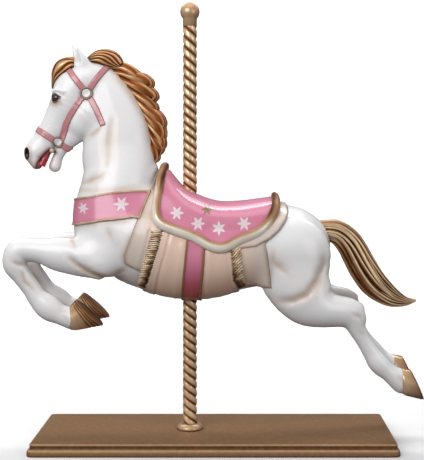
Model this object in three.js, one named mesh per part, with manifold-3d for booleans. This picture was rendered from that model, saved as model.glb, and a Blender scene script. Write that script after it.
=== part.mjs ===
// Carousel horse: a jumping horse cast in one piece with its saddle, blanket and bridle, carried on a
// twisted pole that stands in a moulded base plate and ends in a ball.
//
// Millimetres, +Z up. The origin is on the pole's axis, at the underside of the base. The horse faces -X and
// is the same on both sides of the plane y = 0, apart from its ears and a small lift of the far legs.
//
// The body is described by a field: a function that is negative inside the horse and counts millimetres
// near its skin, and a mesh is laid where it is zero. Swollen copies of the same skin, cut by side outlines,
// make the blanket and the straps, and lofts make the saddle roll, the hooves and the hair. All of it is
// joined into one solid, whose mesh is then thinned by collapsing its least needed edges.
import * as THREE from "three";
import { mergeVertices } from "three/addons/utils/BufferGeometryUtils.js";
import Module from "manifold-3d";

const wasm = await Module();
wasm.setup();

// ---------------------------------------------------------------- driving dimensions

const GAP = 0.3; // clearance between pieces that touch
const BASE = { length: 1226, depth: 405, height: 40, centreX: 86, corner: 22 };
const POLE = { radius: 24.5, groove: 3.5, strands: 3, top: 1434, ringStep: 12 };
const STRAND_SPACING = { low: 29.5, high: 36, from: 1000 }; // along the pole; coarser near the top
const BALL = { radius: 34, centreZ: 1485, neck: 24.5 };
const FOOT = { radius: 45, height: 19 };

const CELL = 9; // grid step of the skin's mesh
const HORSE_TRIANGLES = 7000;
const FAR_LEGS = { fore: [4, 6], hind: [5, 7] }; // how far the far legs stand off the near ones, x and z

// Chains of sections, [x, z, radius in the side view, radius across, distance of the centre from y = 0].
const TRUNK = [
  [-318, 690, 82, 92, 0],
  [-250, 706, 133, 128, 0],
  [-150, 701, 172, 150, 0],
  [-50, 676, 177, 160, 0],
  [50, 646, 151, 163, 0],
  [150, 656, 136, 162, 0],
  [250, 674, 134, 156, 0],
  [330, 684, 130, 148, 0],
  [372, 678, 114, 134, 0],
];
const NECK = [
  [-312, 1262, 48, 38, 0],
  [-285, 1200, 76, 48, 0],
  [-262, 1130, 98, 56, 0],
  [-250, 1060, 113, 64, 0],
  [-249, 990, 124, 72, 0],
  [-242, 920, 126, 88, 0],
  [-252, 850, 132, 106, 0],
  [-265, 785, 133, 120, 0],
  [-268, 720, 116, 122, 0],
];
const WITHERS = [
  [-160, 900, 46, 52, 0],
  [-131, 934, 20, 26, 0],
];
const SKULL = [
  [-345, 1258, 50, 44, 0],
  [-400, 1222, 66, 52, 0],
  [-422, 1170, 62, 50, 0],
  [-448, 1118, 55, 40, 0],
  [-475, 1072, 49, 34, 0],
  [-503, 1035, 44, 30, 0],
  [-524, 1010, 42, 32, 0],
  [-541, 991, 31, 33, 0],
  [-531, 957, 19, 27, 0],
];
const CHEEK = [
  [-346, 1134, 72, 44, 8],
  [-374, 1102, 58, 40, 6],
];
const LOWER_JAW = [
  [-378, 1092, 50, 34, 0],
  [-410, 1054, 36, 28, 0],
  [-435, 1016, 26, 24, 0],
  [-454, 983, 17, 20, 0],
  [-466, 948, 26, 23, 0],
];
const TONGUE = [
  [-496, 990, 11, 16, 0],
  [-515, 952, 13, 17, 0],
];
const FORE_LEG = [
  [-280, 640, 70, 52, 86],
  [-350, 642, 68, 50, 82],
  [-436, 651, 58, 43, 78],
  [-485, 659, 45, 37, 75],
  [-534, 665, 40, 34, 74],
  [-578, 662, 42, 36, 74],
  [-589, 620, 42, 35, 74],
  [-568, 580, 33, 28, 73],
  [-536, 536, 31, 24, 72],
  [-512, 501, 34, 25, 71],
  [-477, 470, 43, 31, 70],
  [-438, 447, 35, 28, 69],
  [-397, 433, 38, 34, 68],
];
const HIND_LEG = [
  [352, 640, 128, 62, 92],
  [358, 574, 114, 60, 96],
  [396, 510, 94, 56, 100],
  [443, 473, 65, 50, 102],
  [489, 464, 55, 42, 102],
  [531, 457, 50, 35, 101],
  [554, 440, 44, 31, 100],
  [563, 414, 33, 27, 99],
  [575, 388, 28, 24, 98],
  [593, 358, 26, 22, 97],
  [617, 320, 29, 23, 96],
  [642, 285, 35, 30, 95],
  [678, 253, 31, 27, 95],
  [719, 225, 41, 33, 94],
];
const HOCK_POINT = [
  [536, 470, 36, 26, 100],
  [573, 474, 18, 15, 100],
];
const ELBOW = [
  [-300, 620, 50, 44, 88],
  [-296, 602, 36, 34, 88],
];
const SEAT = [
  [-84, 905, 42, 56, 0],
  [-68, 866, 36, 80, 0],
  [-46, 835, 38, 100, 0],
  [-9, 796, 51, 122, 0],
  [40, 772, 65, 136, 0],
  [110, 757, 72, 143, 0],
  [190, 758, 74, 142, 0],
  [245, 768, 71, 132, 0],
  [284, 790, 54, 112, 0],
];
const EYE = { x: -454, z: 1184, y: 34, radius: 20 };
const NOSTRIL = { x: -562, z: 992, y: 26, radius: 13 };

// Grooves between muscles, as lines in the side view.
const CREASES = [
  { width: 10, depth: 6, line: [[-385, 640], [-356, 610], [-312, 588], [-262, 572]] },
  { width: 10, depth: 5, line: [[452, 640], [444, 600], [422, 561], [394, 522], [344, 502], [300, 500]] },
  { width: 16, depth: 4, line: [[-262, 1130], [-266, 1050], [-276, 950], [-300, 915], [-370, 885]] },
];

// Tack and cloth: how far each layer stands off the skin, and its outline or centre line in the side view.
const LAYER = { blanket: 5, girth: 9, collar: 6, strap: 5, seat: 12 };
const BLANKET = [
  [-100, 960], [-132, 872], [-153, 806], [-171, 768], [-185, 730], [-214, 654], [-213, 625], [-195, 613],
  [-160, 597], [-163, 400], [168, 400], [172, 537], [278, 544], [275, 577], [265, 655], [257, 694],
  [303, 736], [327, 769], [338, 797], [330, 900], [0, 980],
];
const GIRTH = [[-2, 720], [-12, 618], [-27, 501], [-28, 420], [41, 420], [41, 501], [54, 618], [60, 720]];
const COLLAR = [
  [-440, 836], [-400, 838], [-338, 848], [-285, 858], [-236, 865], [-188, 868], [-128, 869],
  [-160, 777], [-186, 779], [-234, 772], [-283, 767], [-336, 758], [-400, 747], [-440, 746],
];
const STRAPS = [
  { width: 20, line: [[-277, 1300], [-313, 1254], [-352, 1199], [-386, 1157], [-410, 1123], [-437, 1045]] },
  { width: 20, line: [[-418, 1285], [-386, 1243], [-352, 1199], [-317, 1142], [-294, 1088]] },
  { width: 22, line: [[-535, 1082], [-467, 1039], [-453, 1032], [-402, 996]] },
];
const ROSETTES = [
  { x: -352, z: 1199, radius: 21 },
  { x: -453, z: 1032, radius: 19 },
];
const BIT = { x: -472, z: 1003, length: 84, radius: 7 };

// The roll round the saddle, [x, z] in the side view from pommel to cantle. It lies on the seat's side.
const ROLL = [
  [-88, 949], [-97, 908], [-103, 868], [-107, 800], [-102, 774], [-86, 757], [-44, 740], [8, 722],
  [42, 705], [70, 689], [106, 680], [137, 687], [165, 703], [214, 722], [240, 735], [262, 755],
  [281, 782], [293, 812], [296, 843],
];
const ROLL_RADIUS = 15;
const CHANNEL = { low: 380, high: 980 }; // where the pole passes through the horse

// Hair, [x, z, half width in the side view, half width across, y]. One lock is one tapering, curling loft.
const TAIL = [
  [440, 728, 38, 26, 0],
  [505, 722, 48, 34, 0],
  [551, 683, 54, 38, 0],
  [597, 601, 58, 40, 0],
  [635, 546, 56, 38, 0],
  [673, 512, 47, 30, 0],
  [711, 490, 35, 22, 0],
  [750, 481, 18, 12, 0],
  [783, 484, 4, 4, 0],
];
const FORELOCK = [
  [-388, 1300, 22, 30, 0],
  [-412, 1302, 28, 36, 0],
  [-438, 1292, 31, 36, 0],
  [-456, 1272, 26, 28, 0],
  [-467, 1248, 17, 18, 0],
  [-477, 1218, 4, 5, 0],
];
const TUFT = [
  [-362, 1313, 5, 12, 0],
  [-338, 1318, 22, 34, 0],
  [-304, 1322, 36, 42, 0],
  [-268, 1316, 34, 40, 0],
  [-240, 1298, 18, 30, 0],
];
const CREST = [
  [-262, 1288, 18, 24, 0],
  [-225, 1279, 27, 32, 0],
  [-188, 1243, 33, 36, 0],
  [-160, 1204, 31, 38, 0],
  [-143, 1166, 25, 38, 0],
  [-123, 1118, 27, 36, 0],
  [-109, 1065, 26, 34, 0],
  [-107, 1015, 20, 28, 0],
  [-117, 968, 6, 10, 0],
];
const LOCK = { count: 8, length: 84, width: 19, thickness: 15 };
const EARS = [
  { side: -1, base: [-366, 1272], tip: [-385, 1359], half: 36, lean: -6 },
  { side: 1, base: [-380, 1272], tip: [-414, 1378], half: 32, lean: 22 },
];
const EAR_THICKNESS = 12;

// Hooves, [x, z] of heel and toe at the coronet and at the sole, in the side view.
const HOOVES = {
  fore: { coronet: [[-406, 473], [-382, 392]], sole: [[-384, 497], [-290, 409]], y: 68, across: [33, 44] },
  hind: { coronet: [[717, 270], [731, 177]], sole: [[748, 265], [792, 163]], y: 94, across: [36, 45] },
};

// ---------------------------------------------------------------- the body's field

// A chain of sections as many short, evenly bending segments.
function smoothChain(sections, steps = 4) {
  const curve = [];
  for (let i = 0; i < sections.length - 1; i += 1) {
    const [before, from, to, after] = [-1, 0, 1, 2].map((shift) => {
      return sections[Math.min(Math.max(i + shift, 0), sections.length - 1)];
    });
    for (let step = 0; step < steps; step += 1) {
      const t = step / steps;
      curve.push(from.map((value, axis) => {
        const slopeIn = (to[axis] - before[axis]) / 2;
        const slopeOut = (after[axis] - value) / 2;
        const a = 2 * value - 2 * to[axis] + slopeIn + slopeOut;
        const b = 3 * to[axis] - 3 * value - 2 * slopeIn - slopeOut;
        return ((a * t + b) * t + slopeIn) * t + value;
      }));
    }
  }
  curve.push(sections.at(-1));
  return curve;
}

// A limb: the union of the tapering elliptical segments of a chain, with the box that holds it.
function limb(sections, blend) {
  const curve = smoothChain(sections);
  const reach = Math.max(...curve.map((section) => Math.max(section[2], section[3])));
  return {
    curve,
    blend,
    lowX: Math.min(...curve.map((section) => section[0])) - reach,
    highX: Math.max(...curve.map((section) => section[0])) + reach,
    lowZ: Math.min(...curve.map((section) => section[1])) - reach,
    highZ: Math.max(...curve.map((section) => section[1])) + reach,
  };
}

const FAR_AWAY = 200;

function distanceToLimb({ curve, lowX, highX, lowZ, highZ }, x, y, z) {
  const outside = Math.max(lowX - x, x - highX, lowZ - z, z - highZ);
  if (outside > 60) return FAR_AWAY;
  let nearest = FAR_AWAY;
  for (let i = 0; i < curve.length - 1; i += 1) {
    const from = curve[i];
    const to = curve[i + 1];
    const alongX = to[0] - from[0];
    const alongZ = to[1] - from[1];
    const share = ((x - from[0]) * alongX + (z - from[1]) * alongZ) / (alongX * alongX + alongZ * alongZ);
    const t = Math.min(Math.max(share, 0), 1);
    const inPlane = Math.hypot(x - from[0] - t * alongX, z - from[1] - t * alongZ);
    const across = y - from[4] - t * (to[4] - from[4]);
    const radius = from[2] + t * (to[2] - from[2]);
    const width = from[3] + t * (to[3] - from[3]);
    const ratio = Math.hypot(inPlane / radius, across / width);
    const slope = Math.hypot(inPlane / (radius * radius), across / (width * width));
    const distance = slope < 1e-9 ? -Math.min(radius, width) : (ratio * (ratio - 1)) / slope;
    nearest = Math.min(nearest, distance);
  }
  return nearest;
}

function smoothUnion(a, b, blend) {
  const overlap = Math.max(blend - Math.abs(a - b), 0) / blend;
  return Math.min(a, b) - (overlap * overlap * blend) / 4;
}

function moved(sections, [dx, dz]) {
  return sections.map(([x, z, ...rest]) => [x + dx, z + dz, ...rest]);
}

const MIDDLE_LIMBS = [limb(TRUNK, 1), limb(NECK, 40), limb(WITHERS, 20), limb(SKULL, 26)];
const FACE_LIMBS = [limb(CHEEK, 16), limb(LOWER_JAW, 7), limb(TONGUE, 4)];
const SIDE_LIMBS = {
  near: [limb(FORE_LEG, 26), limb(ELBOW, 14), limb(HIND_LEG, 30), limb(HOCK_POINT, 12)],
  far: [
    limb(moved(FORE_LEG, FAR_LEGS.fore), 26),
    limb(ELBOW, 14),
    limb(moved(HIND_LEG, FAR_LEGS.hind), 30),
    limb(moved(HOCK_POINT, FAR_LEGS.hind), 12),
  ],
};

function distanceToBall({ x, y, z, radius }, px, py, pz) {
  return Math.hypot(px - x, py - y, pz - z) - radius;
}

function distanceToLine(line, x, z) {
  let nearest = Infinity;
  for (let i = 0; i < line.length - 1; i += 1) {
    const [[x0, z0], [x1, z1]] = [line[i], line[i + 1]];
    const [dx, dz] = [x1 - x0, z1 - z0];
    const t = Math.min(Math.max(((x - x0) * dx + (z - z0) * dz) / (dx * dx + dz * dz), 0), 1);
    nearest = Math.min(nearest, Math.hypot(x - x0 - t * dx, z - z0 - t * dz));
  }
  return nearest;
}

function body(x, y, z) {
  const side = Math.abs(y);
  let distance = FAR_AWAY;
  for (const part of MIDDLE_LIMBS) {
    distance = smoothUnion(distance, distanceToLimb(part, x, y, z), part.blend);
  }
  for (const part of FACE_LIMBS.concat(y < 0 ? SIDE_LIMBS.near : SIDE_LIMBS.far)) {
    distance = smoothUnion(distance, distanceToLimb(part, x, side, z), part.blend);
  }
  distance = smoothUnion(distance, distanceToBall(EYE, x, side, z), 5);
  distance = -smoothUnion(-distance, distanceToBall(NOSTRIL, x, side, z), 5);
  if (Math.abs(distance) < 30) {
    for (const { line, width, depth } of CREASES) {
      distance += depth * Math.exp(-((distanceToLine(line, x, z) / width) ** 2));
    }
  }
  return distance;
}

const SEAT_LIMB = limb(SEAT, 24);

function saddle(x, y, z) {
  return smoothUnion(body(x, y, z) - LAYER.seat, distanceToLimb(SEAT_LIMB, x, y, z), SEAT_LIMB.blend);
}

// Where a line across the horse at (x, z) leaves a field's solid; 0 where it misses it.
function sideOf(field, x, z) {
  let inside = 0;
  let outside = 220;
  if (field(x, inside, z) > 0) return 0;
  for (let halving = 0; halving < 16; halving += 1) {
    const middle = (inside + outside) / 2;
    if (field(x, middle, z) > 0) outside = middle;
    else inside = middle;
  }
  return inside;
}

// ---------------------------------------------------------------- the skin of a field

const GRID = { low: [-668, -190, 150], high: [790, 190, 1350] };
const BLOCK = 4; // grid steps in the blocks that are skipped when they lie far from the skin

// The field's values on a grid of cubes. A block far from the skin takes the value at its middle, and
// the grid's rim counts as outside, so that the skin is always closed.
function sample(field, { low, high }) {
  const counts = low.map((value, axis) => Math.ceil((high[axis] - value) / CELL / BLOCK) * BLOCK);
  const values = new Float32Array(counts[0] * counts[1] * counts[2]);
  const far = BLOCK * CELL + 24;
  const at = (i, j, k) => field(low[0] + i * CELL, low[1] + j * CELL, low[2] + k * CELL);
  const middle = (BLOCK - 1) / 2;
  for (let k = 0; k < counts[2]; k += BLOCK) {
    for (let j = 0; j < counts[1]; j += BLOCK) {
      for (let i = 0; i < counts[0]; i += BLOCK) {
        const typical = at(i + middle, j + middle, k + middle);
        for (let cube = 0; cube < BLOCK ** 3; cube += 1) {
          const [x, y, z] = [
            i + (cube % BLOCK), j + (Math.floor(cube / BLOCK) % BLOCK), k + Math.floor(cube / BLOCK ** 2),
          ];
          const value = Math.abs(typical) > far ? typical : at(x, y, z);
          const isRim = [x, y, z].some((n, axis) => n === 0 || n === counts[axis] - 1);
          values[x + counts[0] * (y + counts[1] * z)] = isRim ? Math.max(value, CELL) : value;
        }
      }
    }
  }
  return { counts, values, low };
}

// A cube's corners, numbered by their bits x, y and z, and the six tetrahedra round its long diagonal.
const CORNERS = [0, 1, 2, 3, 4, 5, 6, 7].map((n) => [n & 1, (n >> 1) & 1, n >> 2]);
const TETRAHEDRA = [[0, 1, 3, 7], [0, 3, 2, 7], [0, 2, 6, 7], [0, 6, 4, 7], [0, 4, 5, 7], [0, 5, 1, 7]];

// Triangles that part the inside corners of a tetrahedron from the rest, as pairs of corners by their
// order once the inside ones are first: one or three corners give a triangle, two give a quadrilateral.
const CUTS = {
  1: [[0, 1], [0, 2], [0, 3]],
  2: [[0, 2], [0, 3], [1, 3], [0, 2], [1, 3], [1, 2]],
  3: [[0, 3], [1, 3], [2, 3]],
};

// The surface where the sampled field equals a level, always closed: every grid edge or diagonal that it
// crosses has one vertex.
function skinAt({ counts, values, low }, level) {
  const strides = [1, counts[0], counts[0] * counts[1]];
  const shifts = CORNERS.map((corner) => corner.reduce((sum, bit, axis) => sum + bit * strides[axis], 0));
  const vertexOfEdge = new Map();
  const positions = [];
  const indices = [];
  const vertexOn = (cube, cell, from, to) => {
    const [a, b] = from < to ? [from, to] : [to, from];
    const key = (cube + shifts[a]) * 8 + (b - a);
    if (!vertexOfEdge.has(key)) {
      const [start, end] = [values[cube + shifts[a]] - level, values[cube + shifts[b]] - level];
      const t = Math.min(Math.max(start / (start - end), 0.03), 0.97);
      vertexOfEdge.set(key, positions.length / 3);
      for (const axis of [0, 1, 2]) {
        const corner = CORNERS[a][axis] * (1 - t) + CORNERS[b][axis] * t;
        positions.push(low[axis] + (cell[axis] + corner) * CELL);
      }
    }
    return vertexOfEdge.get(key);
  };
  for (let k = 0; k < counts[2] - 1; k += 1) {
    for (let j = 0; j < counts[1] - 1; j += 1) {
      for (let i = 0; i < counts[0] - 1; i += 1) {
        const cube = i + counts[0] * (j + counts[1] * k);
        const inside = shifts.map((shift) => values[cube + shift] < level);
        if (inside.every((flag) => flag === inside[0])) continue;
        for (const tetrahedron of TETRAHEDRA) {
          const order = [...tetrahedron.filter((n) => inside[n]), ...tetrahedron.filter((n) => !inside[n])];
          const cut = CUTS[tetrahedron.filter((n) => inside[n]).length] ?? [];
          const loop = cut.map(([a, b]) => vertexOn(cube, [i, j, k], order[a], order[b]));
          for (let n = 0; n < loop.length; n += 3) {
            const [a, b, c] = loop.slice(n, n + 3);
            indices.push(...(isEvenOrder(tetrahedron, order) ? [a, b, c] : [a, c, b]));
          }
        }
      }
    }
  }
  return geometryOf(positions, indices);
}

function isEvenOrder(original, order) {
  let swaps = 0;
  for (let n = 0; n < order.length; n += 1) {
    for (let m = n + 1; m < order.length; m += 1) {
      if (original.indexOf(order[n]) > original.indexOf(order[m])) swaps += 1;
    }
  }
  return swaps % 2 === 0;
}

function geometryOf(positions, indices) {
  const geometry = new THREE.BufferGeometry();
  geometry.setAttribute("position", new THREE.Float32BufferAttribute(positions, 3));
  geometry.setIndex(indices);
  return geometry;
}

// ---------------------------------------------------------------- solids

function toSolid(geometry) {
  const bare = geometry.clone();
  bare.deleteAttribute("normal");
  bare.deleteAttribute("uv");
  const merged = mergeVertices(bare, 1e-3);
  const vertProperties = Float32Array.from(merged.attributes.position.array);
  const triVerts = Uint32Array.from(merged.index.array);
  if (signedVolume(vertProperties, triVerts) < 0) triVerts.reverse();
  return new wasm.Manifold(new wasm.Mesh({ numProp: 3, vertProperties, triVerts }));
}

function signedVolume(points, triangles) {
  const corner = (n) => new THREE.Vector3().fromArray(points, 3 * n);
  let volume = 0;
  for (let n = 0; n < triangles.length; n += 3) {
    const [a, b, c] = [triangles[n], triangles[n + 1], triangles[n + 2]].map(corner);
    volume += a.dot(b.cross(c)) / 6;
  }
  return volume;
}

function fromSolid(solid) {
  const { vertProperties, triVerts } = solid.getMesh();
  return geometryOf([...vertProperties], [...triVerts]);
}

// A bar across the horse with a side outline, long enough to pass through it.
function prism(outline) {
  const shape = new THREE.Shape(outline.map(([x, z]) => new THREE.Vector2(x, z)));
  const geometry = new THREE.ExtrudeGeometry(shape, { depth: 420, bevelEnabled: false });
  return geometry.rotateX(Math.PI / 2).translate(0, 210, 0);
}

// The outline of a strap: its centre line with half the width laid off on both sides.
function ribbon({ line, width }) {
  const normals = line.map((point, n) => {
    const before = line[Math.max(n - 1, 0)];
    const after = line[Math.min(n + 1, line.length - 1)];
    const along = new THREE.Vector2(after[0] - before[0], after[1] - before[1]).normalize();
    return [(-along.y * width) / 2, (along.x * width) / 2];
  });
  const left = line.map(([x, z], n) => [x + normals[n][0], z + normals[n][1]]);
  const right = line.map(([x, z], n) => [x - normals[n][0], z - normals[n][1]]);
  return left.concat(right.reverse());
}

function octagon({ x, z, radius }) {
  return [...Array(8).keys()].map((n) => {
    const angle = ((n + 0.5) * Math.PI) / 4;
    return [x + radius * Math.cos(angle), z + radius * Math.sin(angle)];
  });
}

// A skin over rings of points, closed at both ends or, for a loop, from the last ring to the first.
function loft(rings, isLoop = false) {
  const size = rings[0].length;
  const positions = rings.flat().flatMap((point) => point.toArray());
  const indices = [];
  const bands = isLoop ? rings.length : rings.length - 1;
  for (let band = 0; band < bands; band += 1) {
    const [low, high] = [band * size, ((band + 1) % rings.length) * size];
    for (let n = 0; n < size; n += 1) {
      const next = (n + 1) % size;
      indices.push(low + n, low + next, high + next, low + n, high + next, high + n);
    }
  }
  if (!isLoop) {
    const first = positions.length / 3;
    for (const ring of [rings[0], rings.at(-1)]) {
      const middle = ring.reduce((sum, point) => sum.add(point), new THREE.Vector3());
      positions.push(...middle.divideScalar(size).toArray());
    }
    const last = (rings.length - 1) * size;
    for (let n = 0; n < size; n += 1) {
      const next = (n + 1) % size;
      indices.push(first, next, n, first + 1, last + n, last + next);
    }
  }
  return geometryOf(positions, indices);
}

// A tapering, grooved loft through hair sections.
function hair(sections, { sides = 10, steps = 3, grooves = 0, depth = 0 } = {}) {
  const across = new THREE.Vector3(0, 1, 0);
  const path = smoothChain(sections, steps);
  const places = path.map(([x, z, , , y]) => new THREE.Vector3(x, y, z));
  const rings = places.map((place, n) => {
    const along = places[Math.min(n + 1, places.length - 1)].clone().sub(places[Math.max(n - 1, 0)]);
    const upward = new THREE.Vector3().crossVectors(along, across).normalize();
    const sideways = new THREE.Vector3().crossVectors(upward, along).normalize();
    return [...Array(sides).keys()].map((side) => {
      const angle = (2 * Math.PI * side) / sides;
      const swell = 1 - (depth * (1 - Math.cos(grooves * angle))) / 2 / Math.max(path[n][2], 8);
      return place.clone()
        .addScaledVector(upward, path[n][2] * swell * Math.cos(angle))
        .addScaledVector(sideways, path[n][3] * swell * Math.sin(angle));
    });
  });
  return loft(rings);
}

// ---------------------------------------------------------------- parts of the horse

function saddleRoll() {
  const near = ROLL.map(([x, z]) => new THREE.Vector3(x, -sideOf(saddle, x, z), z));
  const far = near.slice(1, -1).reverse().map(({ x, y, z }) => new THREE.Vector3(x, -y, z));
  const top = [near[0], near.at(-1)];
  for (const point of top) point.y = 0;
  const curve = new THREE.CatmullRomCurve3([...near, ...far], true, "centripetal");
  const steps = 96;
  const { normals, binormals } = curve.computeFrenetFrames(steps, true);
  const rings = [...Array(steps).keys()].map((n) => {
    const place = curve.getPointAt(n / steps);
    return [...Array(8).keys()].map((side) => {
      const angle = (2 * Math.PI * side) / 8;
      return place.clone()
        .addScaledVector(normals[n], ROLL_RADIUS * Math.cos(angle))
        .addScaledVector(binormals[n], ROLL_RADIUS * Math.sin(angle));
    });
  });
  return loft(rings, true);
}

// The curling locks that lie on the crest of the neck, one after another and on both sides. Each leaves
// the neck, swings out over the crest and curls back at its tip.
function maneLocks() {
  const path = smoothChain(CREST, 6);
  const { count, length, width, thickness } = LOCK;
  return [...Array(count * 2).keys()].map((n) => {
    const side = n % 2 === 0 ? -1 : 1;
    const place = Math.round((n / 2 / count) * (path.length - 12));
    const [x, z, reach, thick] = path[place];
    const down = new THREE.Vector2(path[place + 4][0] - x, path[place + 4][1] - z).normalize();
    const out = new THREE.Vector2(-down.y, down.x);
    const section = (outward, along, size, across) => {
      const [dx, dz] = [out.x * outward + down.x * along, out.y * outward + down.y * along];
      return [x + dx, z + dz, width * size, thickness * size ** 0.6, side * thick * across];
    };
    return hair([
      section(-reach, -10, 0.25, 0.5),
      section(-reach * 0.6, 6, 0.8, 0.75),
      section(0, length * 0.28, 1, 0.8),
      section(reach - width * 0.8, length * 0.52, 0.95, 0.5),
      section(reach - width * 0.6, length * 0.8, 0.7, 0.35),
      section(reach * 0.1, length, 0.2, 0.6),
    ], { sides: 10, steps: 2, grooves: 5, depth: 3 });
  });
}

// A pointed ear that rises out of the poll, bent a little by its lean.
function ear({ side, base, tip, half, lean }) {
  const steps = 5;
  const rings = [...Array(steps + 1).keys()].map((n) => {
    const t = n / steps;
    const width = half * (1 - t) ** 0.8 + 1.2;
    const thick = EAR_THICKNESS * (1 - t) ** 0.6 + 1.2;
    const place = new THREE.Vector3(
      base[0] + (tip[0] - base[0]) * t + lean * t * (1 - t),
      side * (30 + 8 * Math.sin(Math.PI * t)),
      base[1] + (tip[1] - base[1]) * t,
    );
    return [...Array(8).keys()].map((corner) => {
      const angle = (2 * Math.PI * corner) / 8;
      const [forward, outward] = [width * Math.cos(angle), thick * Math.sin(angle)];
      return place.clone().add(new THREE.Vector3(forward * 0.97, outward, forward * 0.18));
    });
  });
  return loft(rings);
}

// A hoof: a skin from the coronet to the sole, blunt at the toe and narrower at the heel.
function hoof({ coronet, sole, y, across }, side, shift) {
  const [top, bottom] = [moved(coronet, shift), moved(sole, shift)];
  const sides = 12;
  const rings = [-0.18, 0, 0.5, 0.92, 1].map((t, level) => {
    const heel = top[0].map((value, axis) => value + (bottom[0][axis] - value) * t);
    const toe = top[1].map((value, axis) => value + (bottom[1][axis] - value) * t);
    const half = across[0] + (across[1] - across[0]) * t;
    const inset = [0.9, 1, 1, 1, 0.94][level];
    return [...Array(sides).keys()].map((corner) => {
      const angle = (2 * Math.PI * corner) / sides;
      const toHeel = 0.5 + 0.5 * inset * Math.cos(angle);
      const wide = half * inset * Math.sin(angle) * (1.06 - 0.14 * Math.cos(angle));
      const [x, z] = toe.map((value, axis) => value + (heel[axis] - value) * toHeel);
      return new THREE.Vector3(x, side * y + wide, z);
    });
  });
  return loft(rings);
}

function bitBar() {
  const bar = new THREE.CylinderGeometry(BIT.radius, BIT.radius, BIT.length, 10);
  return bar.translate(BIT.x, 0, BIT.z);
}

function poleBore() {
  const sides = 24;
  const radius = (POLE.radius + GAP) / Math.cos(Math.PI / sides);
  const { low, high } = CHANNEL;
  const bar = new THREE.CylinderGeometry(radius, radius, high - low, sides);
  return bar.rotateX(Math.PI / 2).translate(0, 0, (low + high) / 2);
}

function horse() {
  const skin = sample(body, GRID);
  const layer = (thickness, outline) => {
    return toSolid(skinAt(skin, thickness)).intersect(toSolid(prism(outline)));
  };
  const pieces = [
    layer(LAYER.blanket, BLANKET),
    layer(LAYER.girth, GIRTH),
    layer(LAYER.collar, COLLAR),
    ...STRAPS.map((strap) => layer(LAYER.strap, ribbon(strap))),
    ...ROSETTES.map((rosette) => layer(LAYER.strap + 3, octagon(rosette))),
  ];
  const seatGrid = sample(saddle, { low: [-140, -190, 620], high: [330, 190, 980] });
  const seatOutline = [...ROLL, [294, 960], [-88, 980]];
  pieces.push(toSolid(skinAt(seatGrid, 0)).intersect(toSolid(prism(seatOutline))));
  const lofts = [
    saddleRoll(),
    bitBar(),
    hair(TAIL, { sides: 36, steps: 3, grooves: 12, depth: 5 }),
    hair(FORELOCK, { sides: 20, steps: 2, grooves: 5, depth: 4 }),
    hair(TUFT, { sides: 24, steps: 3, grooves: 6, depth: 4 }),
    hair(CREST.map(([x, z, reach, thick, y]) => [x, z, reach * 0.95, thick * 0.8, y]), { steps: 2 }),
    ...maneLocks(),
    ...EARS.map(ear),
    hoof(HOOVES.fore, -1, [0, 0]),
    hoof(HOOVES.fore, 1, FAR_LEGS.fore),
    hoof(HOOVES.hind, -1, [0, 0]),
    hoof(HOOVES.hind, 1, FAR_LEGS.hind),
  ];
  let solid = toSolid(skinAt(skin, 0));
  for (const piece of pieces.concat(lofts.map(toSolid))) solid = solid.add(piece);
  return solid.subtract(toSolid(poleBore()));
}

// ---------------------------------------------------------------- thinning a mesh

// Collapses edges, the least noticed first, until a closed mesh has the wanted number of triangles. Each
// vertex carries the sum of its faces' squared plane distances, as the ten numbers of a quadric. A
// collapse that would fold a face over or pinch the mesh is left out.
function thin(geometry, wanted) {
  const points = [...Array(geometry.attributes.position.count).keys()].map((n) => {
    return new THREE.Vector3().fromBufferAttribute(geometry.attributes.position, n);
  });
  const index = geometry.index.array;
  const faces = [];
  for (let n = 0; n < index.length; n += 3) faces.push([index[n], index[n + 1], index[n + 2]]);
  const facesAt = points.map(() => new Set());
  const quadrics = points.map(() => new Float64Array(10));
  faces.forEach((face, n) => {
    const plane = planeOf(face, points);
    for (const corner of face) {
      facesAt[corner].add(n);
      addPlane(quadrics[corner], plane);
    }
  });
  const stamps = new Uint32Array(points.length);
  const queue = [];
  const propose = (a, b) => {
    const sum = quadrics[a].map((value, n) => value + quadrics[b][n]);
    const place = bestPlace(sum, points[a], points[b]);
    const cost = quadricError(sum, place) + points[a].distanceToSquared(points[b]) * 1e-4;
    push(queue, { cost, a, b, place, age: stamps[a] + stamps[b], sum });
  };
  let count = faces.length;
  for (let round = 0; count > wanted && round < 6 * faces.length; round += 1) {
    if (queue.length === 0) {
      for (const [a, b, c] of faces.filter((face) => face !== null)) {
        for (const [from, to] of [[a, b], [b, c], [c, a]]) if (from < to) propose(from, to);
      }
    }
    const { a, b, place, age, sum } = pop(queue);
    if (facesAt[a].size === 0 || facesAt[b].size === 0 || stamps[a] + stamps[b] !== age) continue;
    const shared = [...facesAt[a]].filter((n) => facesAt[b].has(n));
    if (shared.length !== 2 || pinches(a, b, faces, facesAt)) continue;
    const others = [...facesAt[a], ...facesAt[b]].filter((n) => !shared.includes(n));
    if (others.some((n) => foldsOver(faces[n], a, b, place, points))) continue;
    points[a].copy(place);
    quadrics[a] = sum;
    for (const n of shared) {
      for (const corner of faces[n]) facesAt[corner].delete(n);
      faces[n] = null;
    }
    for (const n of facesAt[b]) {
      faces[n] = faces[n].map((corner) => (corner === b ? a : corner));
      facesAt[a].add(n);
    }
    facesAt[b].clear();
    stamps[a] += 1;
    count -= 2;
    const neighbours = new Set([...facesAt[a]].flatMap((n) => faces[n]));
    neighbours.delete(a);
    for (const neighbour of neighbours) propose(Math.min(a, neighbour), Math.max(a, neighbour));
  }
  const kept = faces.filter((face) => face !== null);
  const used = new Map([...new Set(kept.flat())].map((corner, n) => [corner, n]));
  const positions = [...used.keys()].flatMap((corner) => points[corner].toArray());
  return geometryOf(positions, kept.flat().map((corner) => used.get(corner)));
}

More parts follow.
